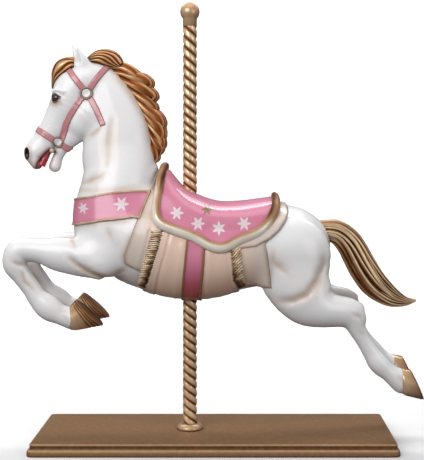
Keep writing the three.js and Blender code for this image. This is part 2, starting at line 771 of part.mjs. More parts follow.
function planeOf([a, b, c], points) {
  const normal = points[b].clone().sub(points[a]).cross(points[c].clone().sub(points[a]));
  const area = normal.length() / 2;
  normal.normalize();
  return { normal, offset: -normal.dot(points[a]), area };
}

function addPlane(quadric, { normal: { x, y, z }, offset, area }) {
  const products = [
    x * x, x * y, x * z, x * offset, y * y, y * z, y * offset, z * z, z * offset, offset * offset,
  ];
  products.forEach((product, n) => {
    quadric[n] += product * area;
  });
}

function quadricError(q, { x, y, z }) {
  return (
    q[0] * x * x + 2 * q[1] * x * y + 2 * q[2] * x * z + 2 * q[3] * x + q[4] * y * y
    + 2 * q[5] * y * z + 2 * q[6] * y + q[7] * z * z + 2 * q[8] * z + q[9]
  );
}

// The point with the least error, or the better of the edge's ends and middle where that lies far off.
function bestPlace(q, a, b) {
  const middle = a.clone().lerp(b, 0.5);
  const matrix = new THREE.Matrix3(q[0], q[1], q[2], q[1], q[4], q[5], q[2], q[5], q[7]);
  const scale = q[0] + q[4] + q[7];
  if (Math.abs(matrix.determinant()) > 2e-4 * scale ** 3) {
    const best = new THREE.Vector3(-q[3], -q[6], -q[8]).applyMatrix3(matrix.invert());
    if (best.distanceTo(middle) < a.distanceTo(b)) return best;
  }
  return [a.clone(), b.clone(), middle].sort((p, r) => quadricError(q, p) - quadricError(q, r))[0];
}

function pinches(a, b, faces, facesAt) {
  const around = (corner) => new Set([...facesAt[corner]].flatMap((n) => faces[n]));
  const aroundA = around(a);
  const common = [...around(b)].filter((corner) => aroundA.has(corner));
  return common.length !== 4;
}

function foldsOver(face, a, b, place, points) {
  const before = planeOf(face, points);
  const corners = face.map((corner) => (corner === a || corner === b ? place : points[corner]));
  const after = planeOf([0, 1, 2], corners);
  if (before.area < 0.05) return false;
  const wasSlim = slimness(face.map((corner) => points[corner]));
  return before.normal.dot(after.normal) < 0.3 || slimness(corners) < Math.min(0.02, wasSlim);
}

function slimness(corners) {
  const longest = Math.max(...corners.map((corner, n) => corner.distanceTo(corners[(n + 1) % 3])));
  return planeOf([0, 1, 2], corners).area / longest ** 2;
}

// A heap of proposals, cheapest first.
function push(heap, item) {
  let n = heap.push(item) - 1;
  while (n > 0) {
    const parent = (n - 1) >> 1;
    if (heap[parent].cost <= item.cost) break;
    heap[n] = heap[parent];
    n = parent;
  }
  heap[n] = item;
}

function pop(heap) {
  const top = heap[0];
  const item = heap.pop();
  const size = heap.length;
  let n = 0;
  while (size > 0) {
    let child = 2 * n + 1;
    if (child >= size) break;
    if (child + 1 < size && heap[child + 1].cost < heap[child].cost) child += 1;
    if (heap[child].cost >= item.cost) break;
    heap[n] = heap[child];
    n = child;
  }
  if (size > 0) heap[n] = item;
  return top;
}

// ---------------------------------------------------------------- pole, ball, foot and base

// How far round the strands have turned at a height: their spacing grows above STRAND_SPACING.from.
function strandTurn(z) {
  const { low, high, from } = STRAND_SPACING;
  const slope = (high - low) / (POLE.top - from);
  const above = Math.max(z - from, 0);
  const turns = Math.min(z, from) / low + Math.log(1 + (slope * above) / low) / slope;
  return (-2 * Math.PI * turns) / POLE.strands;
}

// The twisted pole: each ring has a groove and two crest points for every strand, and follows the twist.
function pole() {
  const bottom = BASE.height + GAP;
  const steps = Math.round((POLE.top - bottom) / POLE.ringStep);
  const rings = [...Array(steps + 1).keys()].map((n) => {
    const z = bottom + ((POLE.top - bottom) * n) / steps;
    return [...Array(POLE.strands * 3).keys()].map((corner) => {
      const strand = Math.floor(corner / 3);
      const share = [0, 0.3, 0.7][corner % 3];
      const angle = strandTurn(z) + (2 * Math.PI * (strand + share)) / POLE.strands;
      const radius = POLE.radius - (corner % 3 === 0 ? POLE.groove : 0);
      return new THREE.Vector3(radius * Math.cos(angle), radius * Math.sin(angle), z);
    });
  });
  return loft(rings);
}

function ball() {
  const { radius, centreZ, neck } = BALL;
  const join = Math.asin(neck / radius);
  const profile = [new THREE.Vector2(0, POLE.top + GAP), new THREE.Vector2(neck, POLE.top + GAP)];
  const arcs = 7;
  for (let n = 0; n <= arcs; n += 1) {
    const angle = Math.PI - join - ((Math.PI - join) * n) / arcs;
    const height = centreZ + radius * Math.cos(angle);
    profile.push(new THREE.Vector2(n === arcs ? 0 : radius * Math.sin(angle), height));
  }
  return new THREE.LatheGeometry(profile, 18).rotateX(Math.PI / 2);
}

// The low domed ring that hides the joint between pole and base.
function footCollar() {
  const bore = POLE.radius + GAP * 2;
  const foot = BASE.height + GAP;
  const { radius, height } = FOOT;
  const profile = [
    [bore, 0], [radius * 0.96, 0], [radius, height * 0.2], [radius * 0.96, height * 0.5],
    [radius * 0.84, height * 0.8], [radius * 0.7, height], [bore, height], [bore, 0],
  ].map(([x, z]) => new THREE.Vector2(x, foot + z));
  return new THREE.LatheGeometry(profile, 20).rotateX(Math.PI / 2);
}

// The base plate: rounded rectangles whose inset from the full size follows the moulding on its edge.
const MOULDING = [[2, 0], [0, 3], [0, 15], [3, 19], [8, 21], [11, 25], [11, 30], [9, 33], [9, 37], [12, 40]];

function basePlate() {
  const arcSteps = 4;
  const rings = MOULDING.map(([inset, z]) => {
    const [halfLength, halfDepth] = [BASE.length / 2 - BASE.corner, BASE.depth / 2 - BASE.corner];
    return [[1, 1], [-1, 1], [-1, -1], [1, -1]].flatMap(([signX, signY], quarter) => {
      return [...Array(arcSteps).keys()].map((n) => {
        const angle = (Math.PI / 2) * (quarter + n / (arcSteps - 1));
        const radius = BASE.corner - inset;
        const x = BASE.centreX + signX * halfLength + radius * Math.cos(angle);
        return new THREE.Vector3(x, signY * halfDepth + radius * Math.sin(angle), z);
      });
    });
  });
  return loft(rings);
}

// ---------------------------------------------------------------- the object

function piece(name, geometry, look) {
  const mesh = new THREE.Mesh(geometry, new THREE.MeshStandardMaterial(look));
  mesh.name = name;
  return mesh;
}

const WHITE_GLAZE = { color: 0xe6e4e6, roughness: 0.25, metalness: 0 };
const OLD_GOLD = { color: 0x9c7348, roughness: 0.35, metalness: 0.6 };

const carouselHorse = new THREE.Group();
carouselHorse.add(
  piece("horse", thin(fromSolid(horse()), HORSE_TRIANGLES), WHITE_GLAZE),
  piece("pole", pole(), OLD_GOLD),
  piece("ball_finial", ball(), OLD_GOLD),
  piece("foot_collar", footCollar(), OLD_GOLD),
  piece("base", basePlate(), OLD_GOLD),
);

export default carouselHorse;
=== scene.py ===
# %% [markdown]
# # A cast and painted carousel horse
#
# The real object is a fairground horse copied as one large casting: body, mane, saddle, blanket and bridle
# come out of one mould and only the paint tells them apart. A twisted pole carries it over a moulded base.
# The casting could be sculpted by hand, but a sculpt can't be read or repeated. Here the horse is a
# distance field, a function that says how far any point is from the skin, built from chains of sections
# along the trunk, the neck, the head and the legs. A mesh is laid where the field is zero, and the cloth and
# straps are the same field a few millimetres further out, so they always lie on the body.

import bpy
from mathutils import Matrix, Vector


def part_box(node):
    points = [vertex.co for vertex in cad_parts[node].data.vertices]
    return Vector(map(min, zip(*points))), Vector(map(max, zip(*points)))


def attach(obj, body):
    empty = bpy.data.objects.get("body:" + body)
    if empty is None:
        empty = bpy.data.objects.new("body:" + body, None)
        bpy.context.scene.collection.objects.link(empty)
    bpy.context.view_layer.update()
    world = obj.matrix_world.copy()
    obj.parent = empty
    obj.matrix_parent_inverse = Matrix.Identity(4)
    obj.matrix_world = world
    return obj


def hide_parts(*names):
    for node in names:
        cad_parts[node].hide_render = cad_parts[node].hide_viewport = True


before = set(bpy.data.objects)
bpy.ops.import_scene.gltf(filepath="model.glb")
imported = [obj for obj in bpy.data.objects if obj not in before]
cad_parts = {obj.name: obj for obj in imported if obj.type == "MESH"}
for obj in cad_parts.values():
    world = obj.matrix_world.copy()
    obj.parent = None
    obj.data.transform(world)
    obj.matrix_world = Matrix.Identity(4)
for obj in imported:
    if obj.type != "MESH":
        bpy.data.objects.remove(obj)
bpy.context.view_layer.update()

import math
from functools import partial

import bpy
import numpy as np
import openvdb
from mathutils import Vector

MM = 0.001

# %% [markdown]
# The driving sizes of the horse, in millimetres. A section of a chain is x, z, its radius in the side view,
# its radius across the horse, and how far its centre lies from the middle plane. The horse faces -X.

# %% Sections of the trunk, the neck and the head
TRUNK = [
    (-318, 690, 82, 92, 0), (-250, 706, 133, 128, 0), (-150, 701, 172, 150, 0), (-50, 676, 177, 160, 0),
    (50, 646, 151, 163, 0), (150, 656, 136, 162, 0), (250, 674, 134, 156, 0), (330, 684, 130, 148, 0),
    (372, 678, 114, 134, 0),
]
NECK = [
    (-312, 1262, 48, 38, 0), (-285, 1200, 76, 48, 0), (-262, 1130, 98, 56, 0), (-250, 1060, 113, 64, 0),
    (-249, 990, 124, 72, 0), (-242, 920, 126, 88, 0), (-252, 850, 132, 106, 0), (-265, 785, 133, 120, 0),
    (-268, 720, 116, 122, 0),
]
WITHERS = [(-160, 900, 46, 52, 0), (-131, 934, 20, 26, 0)]
SKULL = [
    (-345, 1258, 50, 44, 0), (-400, 1222, 66, 52, 0), (-422, 1170, 62, 50, 0), (-448, 1118, 55, 40, 0),
    (-475, 1072, 49, 34, 0), (-503, 1035, 44, 30, 0), (-524, 1010, 42, 32, 0), (-541, 991, 31, 33, 0),
    (-531, 957, 19, 27, 0),
]
CHEEK = [(-346, 1134, 72, 44, 8), (-374, 1102, 58, 40, 6)]
LOWER_JAW = [
    (-378, 1092, 50, 34, 0), (-410, 1054, 36, 28, 0), (-440, 1016, 23, 22, 0), (-457, 984, 18, 19, 0),
    (-468, 950, 21, 21, 0),
]

# %% [markdown]
# A leg is a chain too, from inside the trunk to just above the hoof, with one or two short chains that make
# its elbow or the point of its hock. The horse is the same on both sides, but the far legs of the real one
# stand a few millimetres off the near ones, as two legs carved by hand do.

# %% Sections of the legs
FORE_LEG = [
    (-280, 640, 70, 52, 86), (-350, 642, 68, 50, 82), (-436, 651, 58, 43, 78), (-485, 659, 45, 37, 75),
    (-534, 665, 40, 34, 74), (-578, 662, 42, 36, 74), (-589, 620, 42, 35, 74), (-568, 580, 33, 28, 73),
    (-536, 536, 31, 24, 72), (-512, 501, 34, 25, 71), (-477, 470, 43, 31, 70), (-438, 447, 35, 28, 69),
    (-397, 433, 38, 34, 68),
]
ELBOW = [(-300, 620, 50, 44, 88), (-296, 602, 36, 34, 88)]
HIND_LEG = [
    (352, 640, 128, 62, 92), (358, 574, 114, 60, 96), (396, 510, 94, 56, 100), (443, 473, 65, 50, 102),
    (489, 464, 55, 42, 102), (531, 457, 50, 35, 101), (554, 440, 44, 31, 100), (563, 414, 33, 27, 99),
    (575, 388, 28, 24, 98), (593, 358, 26, 22, 97), (617, 320, 29, 23, 96), (642, 285, 35, 30, 95),
    (678, 253, 31, 27, 95), (719, 225, 41, 33, 94),
]
HOCK_POINT = [(536, 470, 36, 26, 100), (573, 474, 18, 15, 100)]
FAR_FORE = (4, 6)  # how far the far legs stand off the near ones, x and z
FAR_HIND = (5, 7)

# %% [markdown]
# The small forms are the eyes and the creases where one muscle meets the next. A carver cuts a crease with
# one stroke of a gouge, so here a crease is a line in the side view with that stroke's width and depth.

# %% The small forms of the body
EYE = {"x": -454, "z": 1184, "y": 34, "radius": 18}
CREASES = [  # width, depth, line
    (10, 8, [(-404, 654), (-372, 620), (-330, 594), (-280, 572), (-244, 566)]),
    (9, 5, [(-408, 724), (-388, 694), (-372, 670)]),
    (8, 4, [(-262, 578), (-236, 590), (-205, 606)]),
    (13, 4, [(-274, 756), (-262, 724), (-246, 690)]),
    (14, 8, [(450, 668), (452, 620), (432, 570), (396, 524), (348, 502), (290, 500)]),
    (14, 4, [(262, 650), (300, 618), (345, 586)]),
    (8, 5, [(496, 556), (482, 536), (462, 518)]),
    (8, 4, [(545, 462), (572, 446), (588, 424)]),
    (8, 5, [(-600, 636), (-572, 618), (-540, 612)]),
    (9, 4, [(-564, 606), (-552, 560), (-514, 524)]),
    (14, 4, [(-262, 1130), (-268, 1060), (-275, 1000), (-278, 930)]),
    (11, 4, [(-275, 940), (-300, 915), (-345, 896), (-385, 884)]),
]


# %% [markdown]
# A chain of sections becomes a smooth limb in two steps. A Catmull-Rom curve runs through the sections,
# radii included, and is cut into short pieces; the limb is the union of these tapering elliptical pieces.
# Because a piece only matters near itself, it is worked out on its own small block of the grid.

# %% Chains and the grid they are sampled on
FAR_AWAY = 200.0
REACH = 64.0  # how far round a piece its distance is worked out


def smooth_chain(sections, steps=4):
    knots = np.array(sections, float)
    curve = []
    for i in range(len(knots) - 1):
        before, start, end, after = (knots[min(max(i + n, 0), len(knots) - 1)] for n in (-1, 0, 1, 2))
        for t in np.arange(steps) / steps:
            slope_in, slope_out = (end - before) / 2, (after - start) / 2
            a = 2 * start - 2 * end + slope_in + slope_out
            b = 3 * end - 3 * start - 2 * slope_in - slope_out
            curve.append(((a * t + b) * t + slope_in) * t + start)
    curve.append(knots[-1])
    return np.array(curve)


class Block:
    """A box of grid points, in millimetres, with a distance at each of them."""

    def __init__(self, low, high, step):
        self.low, self.step = np.array(low, float), step
        counts = [int(math.ceil((b - a) / step)) + 1 for a, b in zip(low, high)]
        self.axes = [low[n] + step * np.arange(counts[n], dtype=np.float32) for n in range(3)]
        self.shape = tuple(counts)

    def window(self, axis, low, high):
        start = int(np.floor((low - self.low[axis]) / self.step))
        end = int(np.ceil((high - self.low[axis]) / self.step)) + 1
        return slice(max(start, 0), max(min(end, self.shape[axis]), 0))

    def limb(self, sections, side=0):
        """Distance to a chain. side 0 makes it on both sides, -1 on the near side, 1 on the far side."""
        curve = smooth_chain(sections)
        x, y, z = self.axes
        out = np.full(self.shape, FAR_AWAY, np.float32)
        keep = {0: slice(None), -1: y < 0, 1: y >= 0}[side]
        for start, end in zip(curve[:-1], curve[1:]):
            grow = max(start[2], end[2]) + REACH
            wi = self.window(0, min(start[0], end[0]) - grow, max(start[0], end[0]) + grow)
            wk = self.window(2, min(start[1], end[1]) - grow, max(start[1], end[1]) + grow)
            px, pz = x[wi][:, None], z[wk][None, :]
            if px.size == 0 or pz.size == 0:
                continue
            dx, dz = end[0] - start[0], end[1] - start[1]
            t = np.clip(((px - start[0]) * dx + (pz - start[1]) * dz) / (dx * dx + dz * dz), 0, 1)
            flat = np.hypot(px - start[0] - t * dx, pz - start[1] - t * dz)
            radius, width, centre = (start[n] + t * (end[n] - start[n]) for n in (2, 3, 4))
            py = np.abs(y[keep])[None, :, None]
            across = (py - centre[:, None, :]) / width[:, None, :]
            flat = (flat / radius)[:, None, :]
            ratio = np.sqrt(flat * flat + across * across)
            slope = np.sqrt((flat / radius[:, None, :]) ** 2 + (across / width[:, None, :]) ** 2)
            distance = ratio * (ratio - 1) / np.maximum(slope, 1e-9)
            distance = np.where(slope < 1e-9, -radius[:, None, :], distance)
            part = out[wi, keep, wk]
            out[wi, keep, wk] = np.minimum(part, distance)
        return out

    def side_view(self, measure, *shape):
        """A measure of a shape in the side view, the same all the way across the horse."""
        px, pz = np.meshgrid(self.axes[0], self.axes[2], indexing="ij")
        return measure(*shape, px, pz)[:, None, :]


def smooth_union(a, b, blend):
    overlap = np.maximum(blend - np.abs(a - b), 0) / blend
    return np.minimum(a, b) - overlap * overlap * (blend / 4)


def smooth_cut(a, b, blend):
    return -smooth_union(-a, -b, blend)


def moved(sections, shift):
    return [(x + shift[0], z + shift[1], *rest) for x, z, *rest in sections]


def distance_to_line(line, px, pz):
    nearest = np.full(np.broadcast(px, pz).shape, 1e9)
    for (x0, z0), (x1, z1) in zip(line[:-1], line[1:]):
        dx, dz = x1 - x0, z1 - z0
        t = np.clip(((px - x0) * dx + (pz - z0) * dz) / (dx * dx + dz * dz + 1e-9), 0, 1)
        nearest = np.minimum(nearest, np.hypot(px - x0 - t * dx, pz - z0 - t * dz))
    return nearest


def glow(distance, width):
    """1 where the distance is 0, falling to nearly 0 at twice the width."""
    return np.exp(-(distance / width) ** 2)


def fading_line(line, width, px, pz):
    """1 on a line, falling to 0 beside it and growing faint towards its two ends."""
    ends = np.minimum(distance_to_circle(*line[0], 0, px, pz), distance_to_circle(*line[-1], 0, px, pz))
    fade = np.clip(ends / (3.5 * width), 0.15, 1)
    return fade * glow(distance_to_line(line, px, pz), width)


def distance_to_circle(x, z, radius, px, pz):
    return np.hypot(px - x, pz - z) - radius


def distance_to_outline(outline, px, pz):
    """Negative inside a closed outline."""
    loop = list(outline) + [outline[0]]
    inside = np.zeros(np.broadcast(px, pz).shape, bool)
    for (x0, z0), (x1, z1) in zip(loop[:-1], loop[1:]):
        if z0 == z1:
            continue
        crosses = (z0 > pz) != (z1 > pz)
        inside ^= crosses & (px < x0 + (pz - z0) * (x1 - x0) / (z1 - z0))
    distance = distance_to_line(loop, px, pz)
    return np.where(inside, -distance, distance)


print("Field helpers ready")

# %% [markdown]
# The body is the blended union of its limbs. The blend is a width in millimetres: a wide one melts the neck
# into the chest, a narrow one keeps the jaw apart from the tongue. The eyeballs push out, the nostrils are
# cut in, and each crease between muscles raises the distance a little along its line.

# %% The field of the whole body
def body_field(block):
    field = block.limb(TRUNK)
    for sections, blend in ((NECK, 40), (WITHERS, 20), (SKULL, 26), (CHEEK, 16), (LOWER_JAW, 7)):
        field = smooth_union(field, block.limb(sections), blend)
    for side, fore, hind in ((-1, (0, 0), (0, 0)), (1, FAR_FORE, FAR_HIND)):
        for sections, shift, blend in (
            (FORE_LEG, fore, 26), (ELBOW, (0, 0), 14), (HIND_LEG, hind, 30), (HOCK_POINT, hind, 12),
        ):
            field = smooth_union(field, block.limb(moved(sections, shift), side), blend)
    for width, depth, line in CREASES:
        field = field + depth * block.side_view(fading_line, line, width)
    return field


# %% [markdown]
# OpenVDB lays a mesh of four-sided faces where a grid changes sign, the same way that its volume modifiers
# do. The rim of the grid counts as outside, so the mesh is always closed. Points go straight to metres.

# %% From a field to a mesh object
def new_object(name, points, faces, material, smooth=True):
    mesh = bpy.data.meshes.new(name)
    faces = faces.tolist() if isinstance(faces, np.ndarray) else faces
    mesh.from_pydata(np.asarray(points).tolist(), [], faces)
    mesh.polygons.foreach_set("use_smooth", [smooth] * len(mesh.polygons))
    mesh.materials.append(material)
    mesh.update()
    piece = bpy.data.objects.new(name, mesh)
    bpy.context.scene.collection.objects.link(piece)
    return piece


def mesh_of(block, field, name, material, level=0.0):
    values = np.array(field, np.float32)
    for axis in range(3):
        for edge in (0, -1):
            rim = [slice(None)] * 3
            rim[axis] = edge
            values[tuple(rim)] = np.maximum(values[tuple(rim)], level + block.step)
    grid = openvdb.FloatGrid(background=float(block.step * 3))
    grid.copyFromArray(values)
    points, quads = grid.convertToQuads(isovalue=level)
    points = (points * block.step + block.low) * MM
    piece = new_object(name, points, quads, material)
    print(f"{name}: {len(quads)} faces of about {block.step} mm")
    return piece


def keep_edges(piece, degrees=50):
    """Smooth shading that stops at the mesh's real edges."""
    piece.data.set_sharp_from_angle(angle=math.radians(degrees))


def attribute(piece, name, values):
    """Keeps a measure on the mesh's points: one value for each of them, or the same for all."""
    each = np.ones(len(piece.data.vertices), np.float32) * np.asarray(values, np.float32)
    piece.data.attributes.new(name, "FLOAT", "POINT").data.foreach_set("value", each)


def outwards(piece):
    """Turns the faces round where the mesh is inside out."""
    mesh = piece.data
    mesh.calc_loop_triangles()
    points = corners_of(piece)
    corners = np.array([t.vertices for t in mesh.loop_triangles])
    a, b, c = (points[corners[:, n]] for n in range(3))
    if np.einsum("ij,ij->i", a, np.cross(b, c)).sum() < 0:
        mesh.flip_normals()


def corners_of(piece):
    points = np.empty(len(piece.data.vertices) * 3, np.float32)
    piece.data.vertices.foreach_get("co", points)
    return points.reshape(-1, 3) / MM


# %% [markdown]
# Paint comes next, because each mesh takes its material as it is made. The colours are mixed the way the
# painter did it: a pale ground, and a brown wash that is wiped off again so that it stays in the hollows.
# Each mesh carries its own measures for that as attributes, such as how near a point is to a groove.

# %% Helpers for node trees
def colour(code):
    """A linear colour from its usual hex code."""
    channels = [int(code[n:n + 2], 16) / 255 for n in (0, 2, 4)]
    return [c / 12.92 if c <= 0.04045 else ((c + 0.055) / 1.055) ** 2.4 for c in channels] + [1.0]


def node(tree, kind, inputs=None, **settings):
    """A new node. Each input is linked where its value is a socket, and set where it is a plain value."""
    made = tree.nodes.new(kind)
    for key, value in settings.items():
        setattr(made, key, value)
    for key, value in (inputs or {}).items():
        if isinstance(value, bpy.types.NodeSocket):
            tree.links.new(value, made.inputs[key])
        else:
            made.inputs[key].default_value = value
    return made


def mix(tree, factor, first, second, blend="MIX"):
    return node(tree, "ShaderNodeMix", {0: factor, 6: first, 7: second}, data_type="RGBA",
                blend_type=blend).outputs[2]


def maths(tree, operation, *values):
    return node(tree, "ShaderNodeMath", dict(enumerate(values)), operation=operation).outputs[0]


def ramp(tree, value, low, high, top=1.0):
    """0 at low, rising to top at high."""
    return node(tree, "ShaderNodeMapRange", {"Value": value, 1: low, 2: high, 4: top}).outputs[0]


def parts_of(tree, vector):
    return node(tree, "ShaderNodeSeparateXYZ", {0: vector}).outputs


def place_in(tree):
    return node(tree, "ShaderNodeTexCoord").outputs["Object"]


def soft_grain(tree, scale, detail=3.0):
    return node(tree, "ShaderNodeTexNoise", {
        "Vector": place_in(tree), "Scale": scale, "Detail": detail}).outputs["Fac"]


def measure(tree, name):
    return node(tree, "ShaderNodeAttribute", attribute_name=name).outputs["Fac"]


def use_group(tree, group, inputs):
    return node(tree, "ShaderNodeGroup", inputs, node_tree=group)


def new_sockets(tree, direction, sockets):
    for label, (kind, value) in sockets.items():
        socket = tree.interface.new_socket(label, in_out=direction, socket_type="NodeSocket" + kind)
        if value is not None:
            socket.default_value = value


def new_group(name, inputs, outputs):
    group = bpy.data.node_groups.new(name, "ShaderNodeTree")
    new_sockets(group, "INPUT", inputs)
    new_sockets(group, "OUTPUT", outputs)
    return group, node(group, "NodeGroupInput").outputs, node(group, "NodeGroupOutput").inputs


# %% [markdown]
# The cords and the pole follow rules, so Geometry Nodes make them. A tree is built here in the script, runs
# on a line of points, and the mesh that it makes is kept in place of the modifier.

# %% Trees that grow a piece along a line
def new_tree(name, inputs):
    tree = bpy.data.node_groups.new(name, "GeometryNodeTree")
    new_sockets(tree, "INPUT", {"Geometry": ("Geometry", None), **inputs, "Material": ("Material", None)})
    new_sockets(tree, "OUTPUT", {"Geometry": ("Geometry", None)})
    return tree, node(tree, "NodeGroupInput").outputs, node(tree, "NodeGroupOutput").inputs


def finish_tree(tree, given, result, geometry):
    """Every tree ends with real geometry and its finish."""
    real = node(tree, "GeometryNodeRealizeInstances", {0: geometry})
    painted = node(tree, "GeometryNodeSetMaterial", {
        "Geometry": real.outputs[0], "Material": given["Material"]})
    tree.links.new(painted.outputs[0], result[0])


def grown(name, points, tree, values, directions=None):
    """Runs a tree on a line of points in millimetres and keeps the mesh that it makes."""
    mesh = bpy.data.meshes.new(name)
    mesh.from_pydata((np.array(points) * MM).tolist(), [(n, n + 1) for n in range(len(points) - 1)], [])
    for label, vectors in (directions or {}).items():
        mesh.attributes.new(label, "FLOAT_VECTOR", "POINT").data.foreach_set("vector", np.ravel(vectors))
    piece = bpy.data.objects.new(name, mesh)
    bpy.context.scene.collection.objects.link(piece)
    step = piece.modifiers.new("grow", "NODES")
    step.node_group = tree
    for socket in tree.interface.items_tree:
        if socket.in_out == "INPUT" and socket.name in values:
            step[socket.identifier] = values[socket.name]
    graph = bpy.context.evaluated_depsgraph_get()
    piece.data = bpy.data.meshes.new_from_object(piece.evaluated_get(graph), preserve_all_data_layers=True,
                                                 depsgraph=graph)
    piece.modifiers.clear()
    piece.data.name = name
    piece.data.shade_smooth()
    outwards(piece)
    print(f"{name}: {len(piece.data.polygons)} faces")
    return piece


print("Trees can grow pieces")

# %% [markdown]
# Two effects are shared. The antique wash takes a measure of hollowness, breaks it up with noise as a wiped
# wash is, and gives back a mask. The gilding lays bright rubbed gold over a brown ground in the grooves.

# %% Shared shader groups
wash_group, given, result = new_group(
    "antique wash",
    {"Hollow": ("Float", 0.0), "Strength": ("Float", 1.0), "Grain": ("Float", 40.0)},
    {"Mask": ("Float", None)},
)
broken = maths(wash_group, "MULTIPLY_ADD", soft_grain(wash_group, given["Grain"], 4.0), 0.9, 0.55)
mask = maths(wash_group, "MULTIPLY", given["Hollow"], broken)
mask = maths(wash_group, "MULTIPLY", mask, given["Strength"])
wash_group.links.new(node(wash_group, "ShaderNodeClamp", {"Value": mask}).outputs[0], result["Mask"])

gild_group, given, result = new_group(
    "rubbed gilding",
    {
        "Groove": ("Float", 0.0), "Bright": ("Color", colour("e6d2b0")), "Body": ("Color", colour("b08a5c")),
        "Ground": ("Color", colour("3b2113")), "Grain": ("Float", 60.0),
    },
    {"Color": ("Color", None), "Roughness": ("Float", None), "Height": ("Float", None)},
)
grain = soft_grain(gild_group, given["Grain"], 5.0)
depth = maths(gild_group, "ADD", given["Groove"], maths(gild_group, "MULTIPLY_ADD", grain, 0.36, -0.18))
gold = mix(gild_group, ramp(gild_group, depth, -0.05, 0.36), given["Bright"], given["Body"])
gold = mix(gild_group, ramp(gild_group, depth, 0.45, 0.95), gold, given["Ground"])
gloss = maths(gild_group, "MULTIPLY_ADD", depth, 0.28, 0.24)
for label, socket in (("Color", gold), ("Roughness", gloss), ("Height", grain)):
    gild_group.links.new(socket, result[label])

SIXTH = math.pi / 6  # half the angle from one of a star's six points to the next
star_group, given, result = new_group(
    "six-pointed star",
    {
        "Centre X": ("Float", 0.0), "Centre Z": ("Float", 0.0), "Radius": ("Float", 0.022),
        "Turn": ("Float", 0.0),
    },
    {"Mask": ("Float", None)},
)
calc = partial(maths, star_group)
spread = parts_of(star_group, place_in(star_group))
along = calc("SUBTRACT", spread["X"], given["Centre X"])
upward = calc("SUBTRACT", spread["Z"], given["Centre Z"])
angle = calc("ADD", calc("ARCTAN2", upward, along), given["Turn"])
ray = calc("DIVIDE", calc("PINGPONG", angle, SIXTH), SIXTH)
reach = calc("SQRT", calc("ADD", calc("MULTIPLY", along, along), calc("MULTIPLY", upward, upward)))
edge = calc("MULTIPLY", given["Radius"], calc("MULTIPLY_ADD", calc("POWER", ray, 0.75), -0.62, 1.0))
star_group.links.new(ramp(star_group, calc("SUBTRACT", edge, reach), -0.0006, 0.0006), result["Mask"])


def paint(name, roughness, coat, metallic=0.0, **others):
    """A new painted finish: the material, its tree and its Principled shader."""
    material = bpy.data.materials.new(name)
    material.use_nodes = True
    shader = material.node_tree.nodes["Principled BSDF"]
    for label, value in {"Roughness": roughness, "Coat Weight": coat, "Coat Roughness": 0.08,
                         "Metallic": metallic, **others}.items():
        shader.inputs[label].default_value = value
    return material, material.node_tree, shader


def bump(tree, shader, height, strength, distance):
    made = node(tree, "ShaderNodeBump", {"Height": height, "Strength": strength, "Distance": distance})
    tree.links.new(made.outputs["Normal"], shader.inputs["Normal"])


def wash_over(tree, base, tint, strength, grain):
    """The antique wash over a base colour, where the mesh is hollow."""
    hollow = use_group(tree, wash_group, {
        "Hollow": measure(tree, "wash"), "Strength": strength, "Grain": grain})
    return mix(tree, hollow.outputs[0], base, colour(tint))


def glazed(tree, shader, base, grain, uneven, least, strength, distance):
    """Lays the base colour under a glaze whose gloss and surface are broken up by one fine grain."""
    tree.links.new(base, shader.inputs["Base Color"])
    fine = soft_grain(tree, grain)
    tree.links.new(maths(tree, "MULTIPLY_ADD", fine, uneven, least), shader.inputs["Roughness"])
    bump(tree, shader, fine, strength, distance)


# %% [markdown]
# The coat is a thick white glaze over resin. Its tone comes from three things: lilac grey painted as shade
# where the skin turns down or closes in, and the tan wash in the creases and the painted face that the real
# maker did with a brush.

# %% White coat
def coat_paint():
    material, tree, shader = paint("white glaze", 0.24, 0.25, **{"Specular Tint": colour("c9c3cc")})
    # Painted shade: lilac grey where the skin faces down, and where ambient occlusion finds it closed in.
    upward = parts_of(tree, node(tree, "ShaderNodeNewGeometry").outputs["Normal"])["Z"]
    nook_shade = node(tree, "ShaderNodeAmbientOcclusion", {"Distance": 0.10}, samples=4)
    closed = maths(tree, "MULTIPLY", maths(tree, "SUBTRACT", 1.0, nook_shade.outputs["AO"]), 0.6)
    shade = maths(tree, "MULTIPLY_ADD", ramp(tree, upward, 0.25, -0.9), 0.55, closed)
    shade = node(tree, "ShaderNodeClamp", {"Value": shade}).outputs[0]
    base = wash_over(tree, mix(tree, shade, colour("f4f3f2"), colour("b4adb3")), "bd9768", 1.0, 22.0)
    for name, tint in (("lips", "b57c7c"), ("gum", "b4434e"), ("dark", "1c1010")):
        base = mix(tree, measure(tree, name), base, colour(tint))
    glazed(tree, shader, base, 30.0, 0.16, 0.16, 0.06, 0.002)
    return material


# %% [markdown]
# The saddle and the girth are pink, redder under the belly. The blanket is beige and greyer at its ends, and
# the gold is paint rubbed bright on its high places. Stars like these are stencilled, so they are made in the
# finish and have no thickness.

# %% Pink, beige and the stars
def pink_paint(name, stars=(), light="de8ea6", deep="d27c98"):
    material, tree, shader = paint(name, 0.36, 0.3)
    low = ramp(tree, parts_of(tree, place_in(tree))["Z"], 0.640, 0.505)
    base = mix(tree, low, mix(tree, soft_grain(tree, 14.0), colour(light), colour(deep)), colour("a8323f"))
    base = wash_over(tree, base, "7d3a3c", 0.8, 50.0)
    for x, z, radius, turn, tint in stars:
        star = use_group(tree, star_group, {
            "Centre X": x * MM, "Centre Z": z * MM, "Radius": radius * MM, "Turn": turn})
        base = mix(tree, star.outputs[0], base, colour(tint))
    glazed(tree, shader, base, 160.0, 0.18, 0.12, 0.10, 0.0008)
    return material


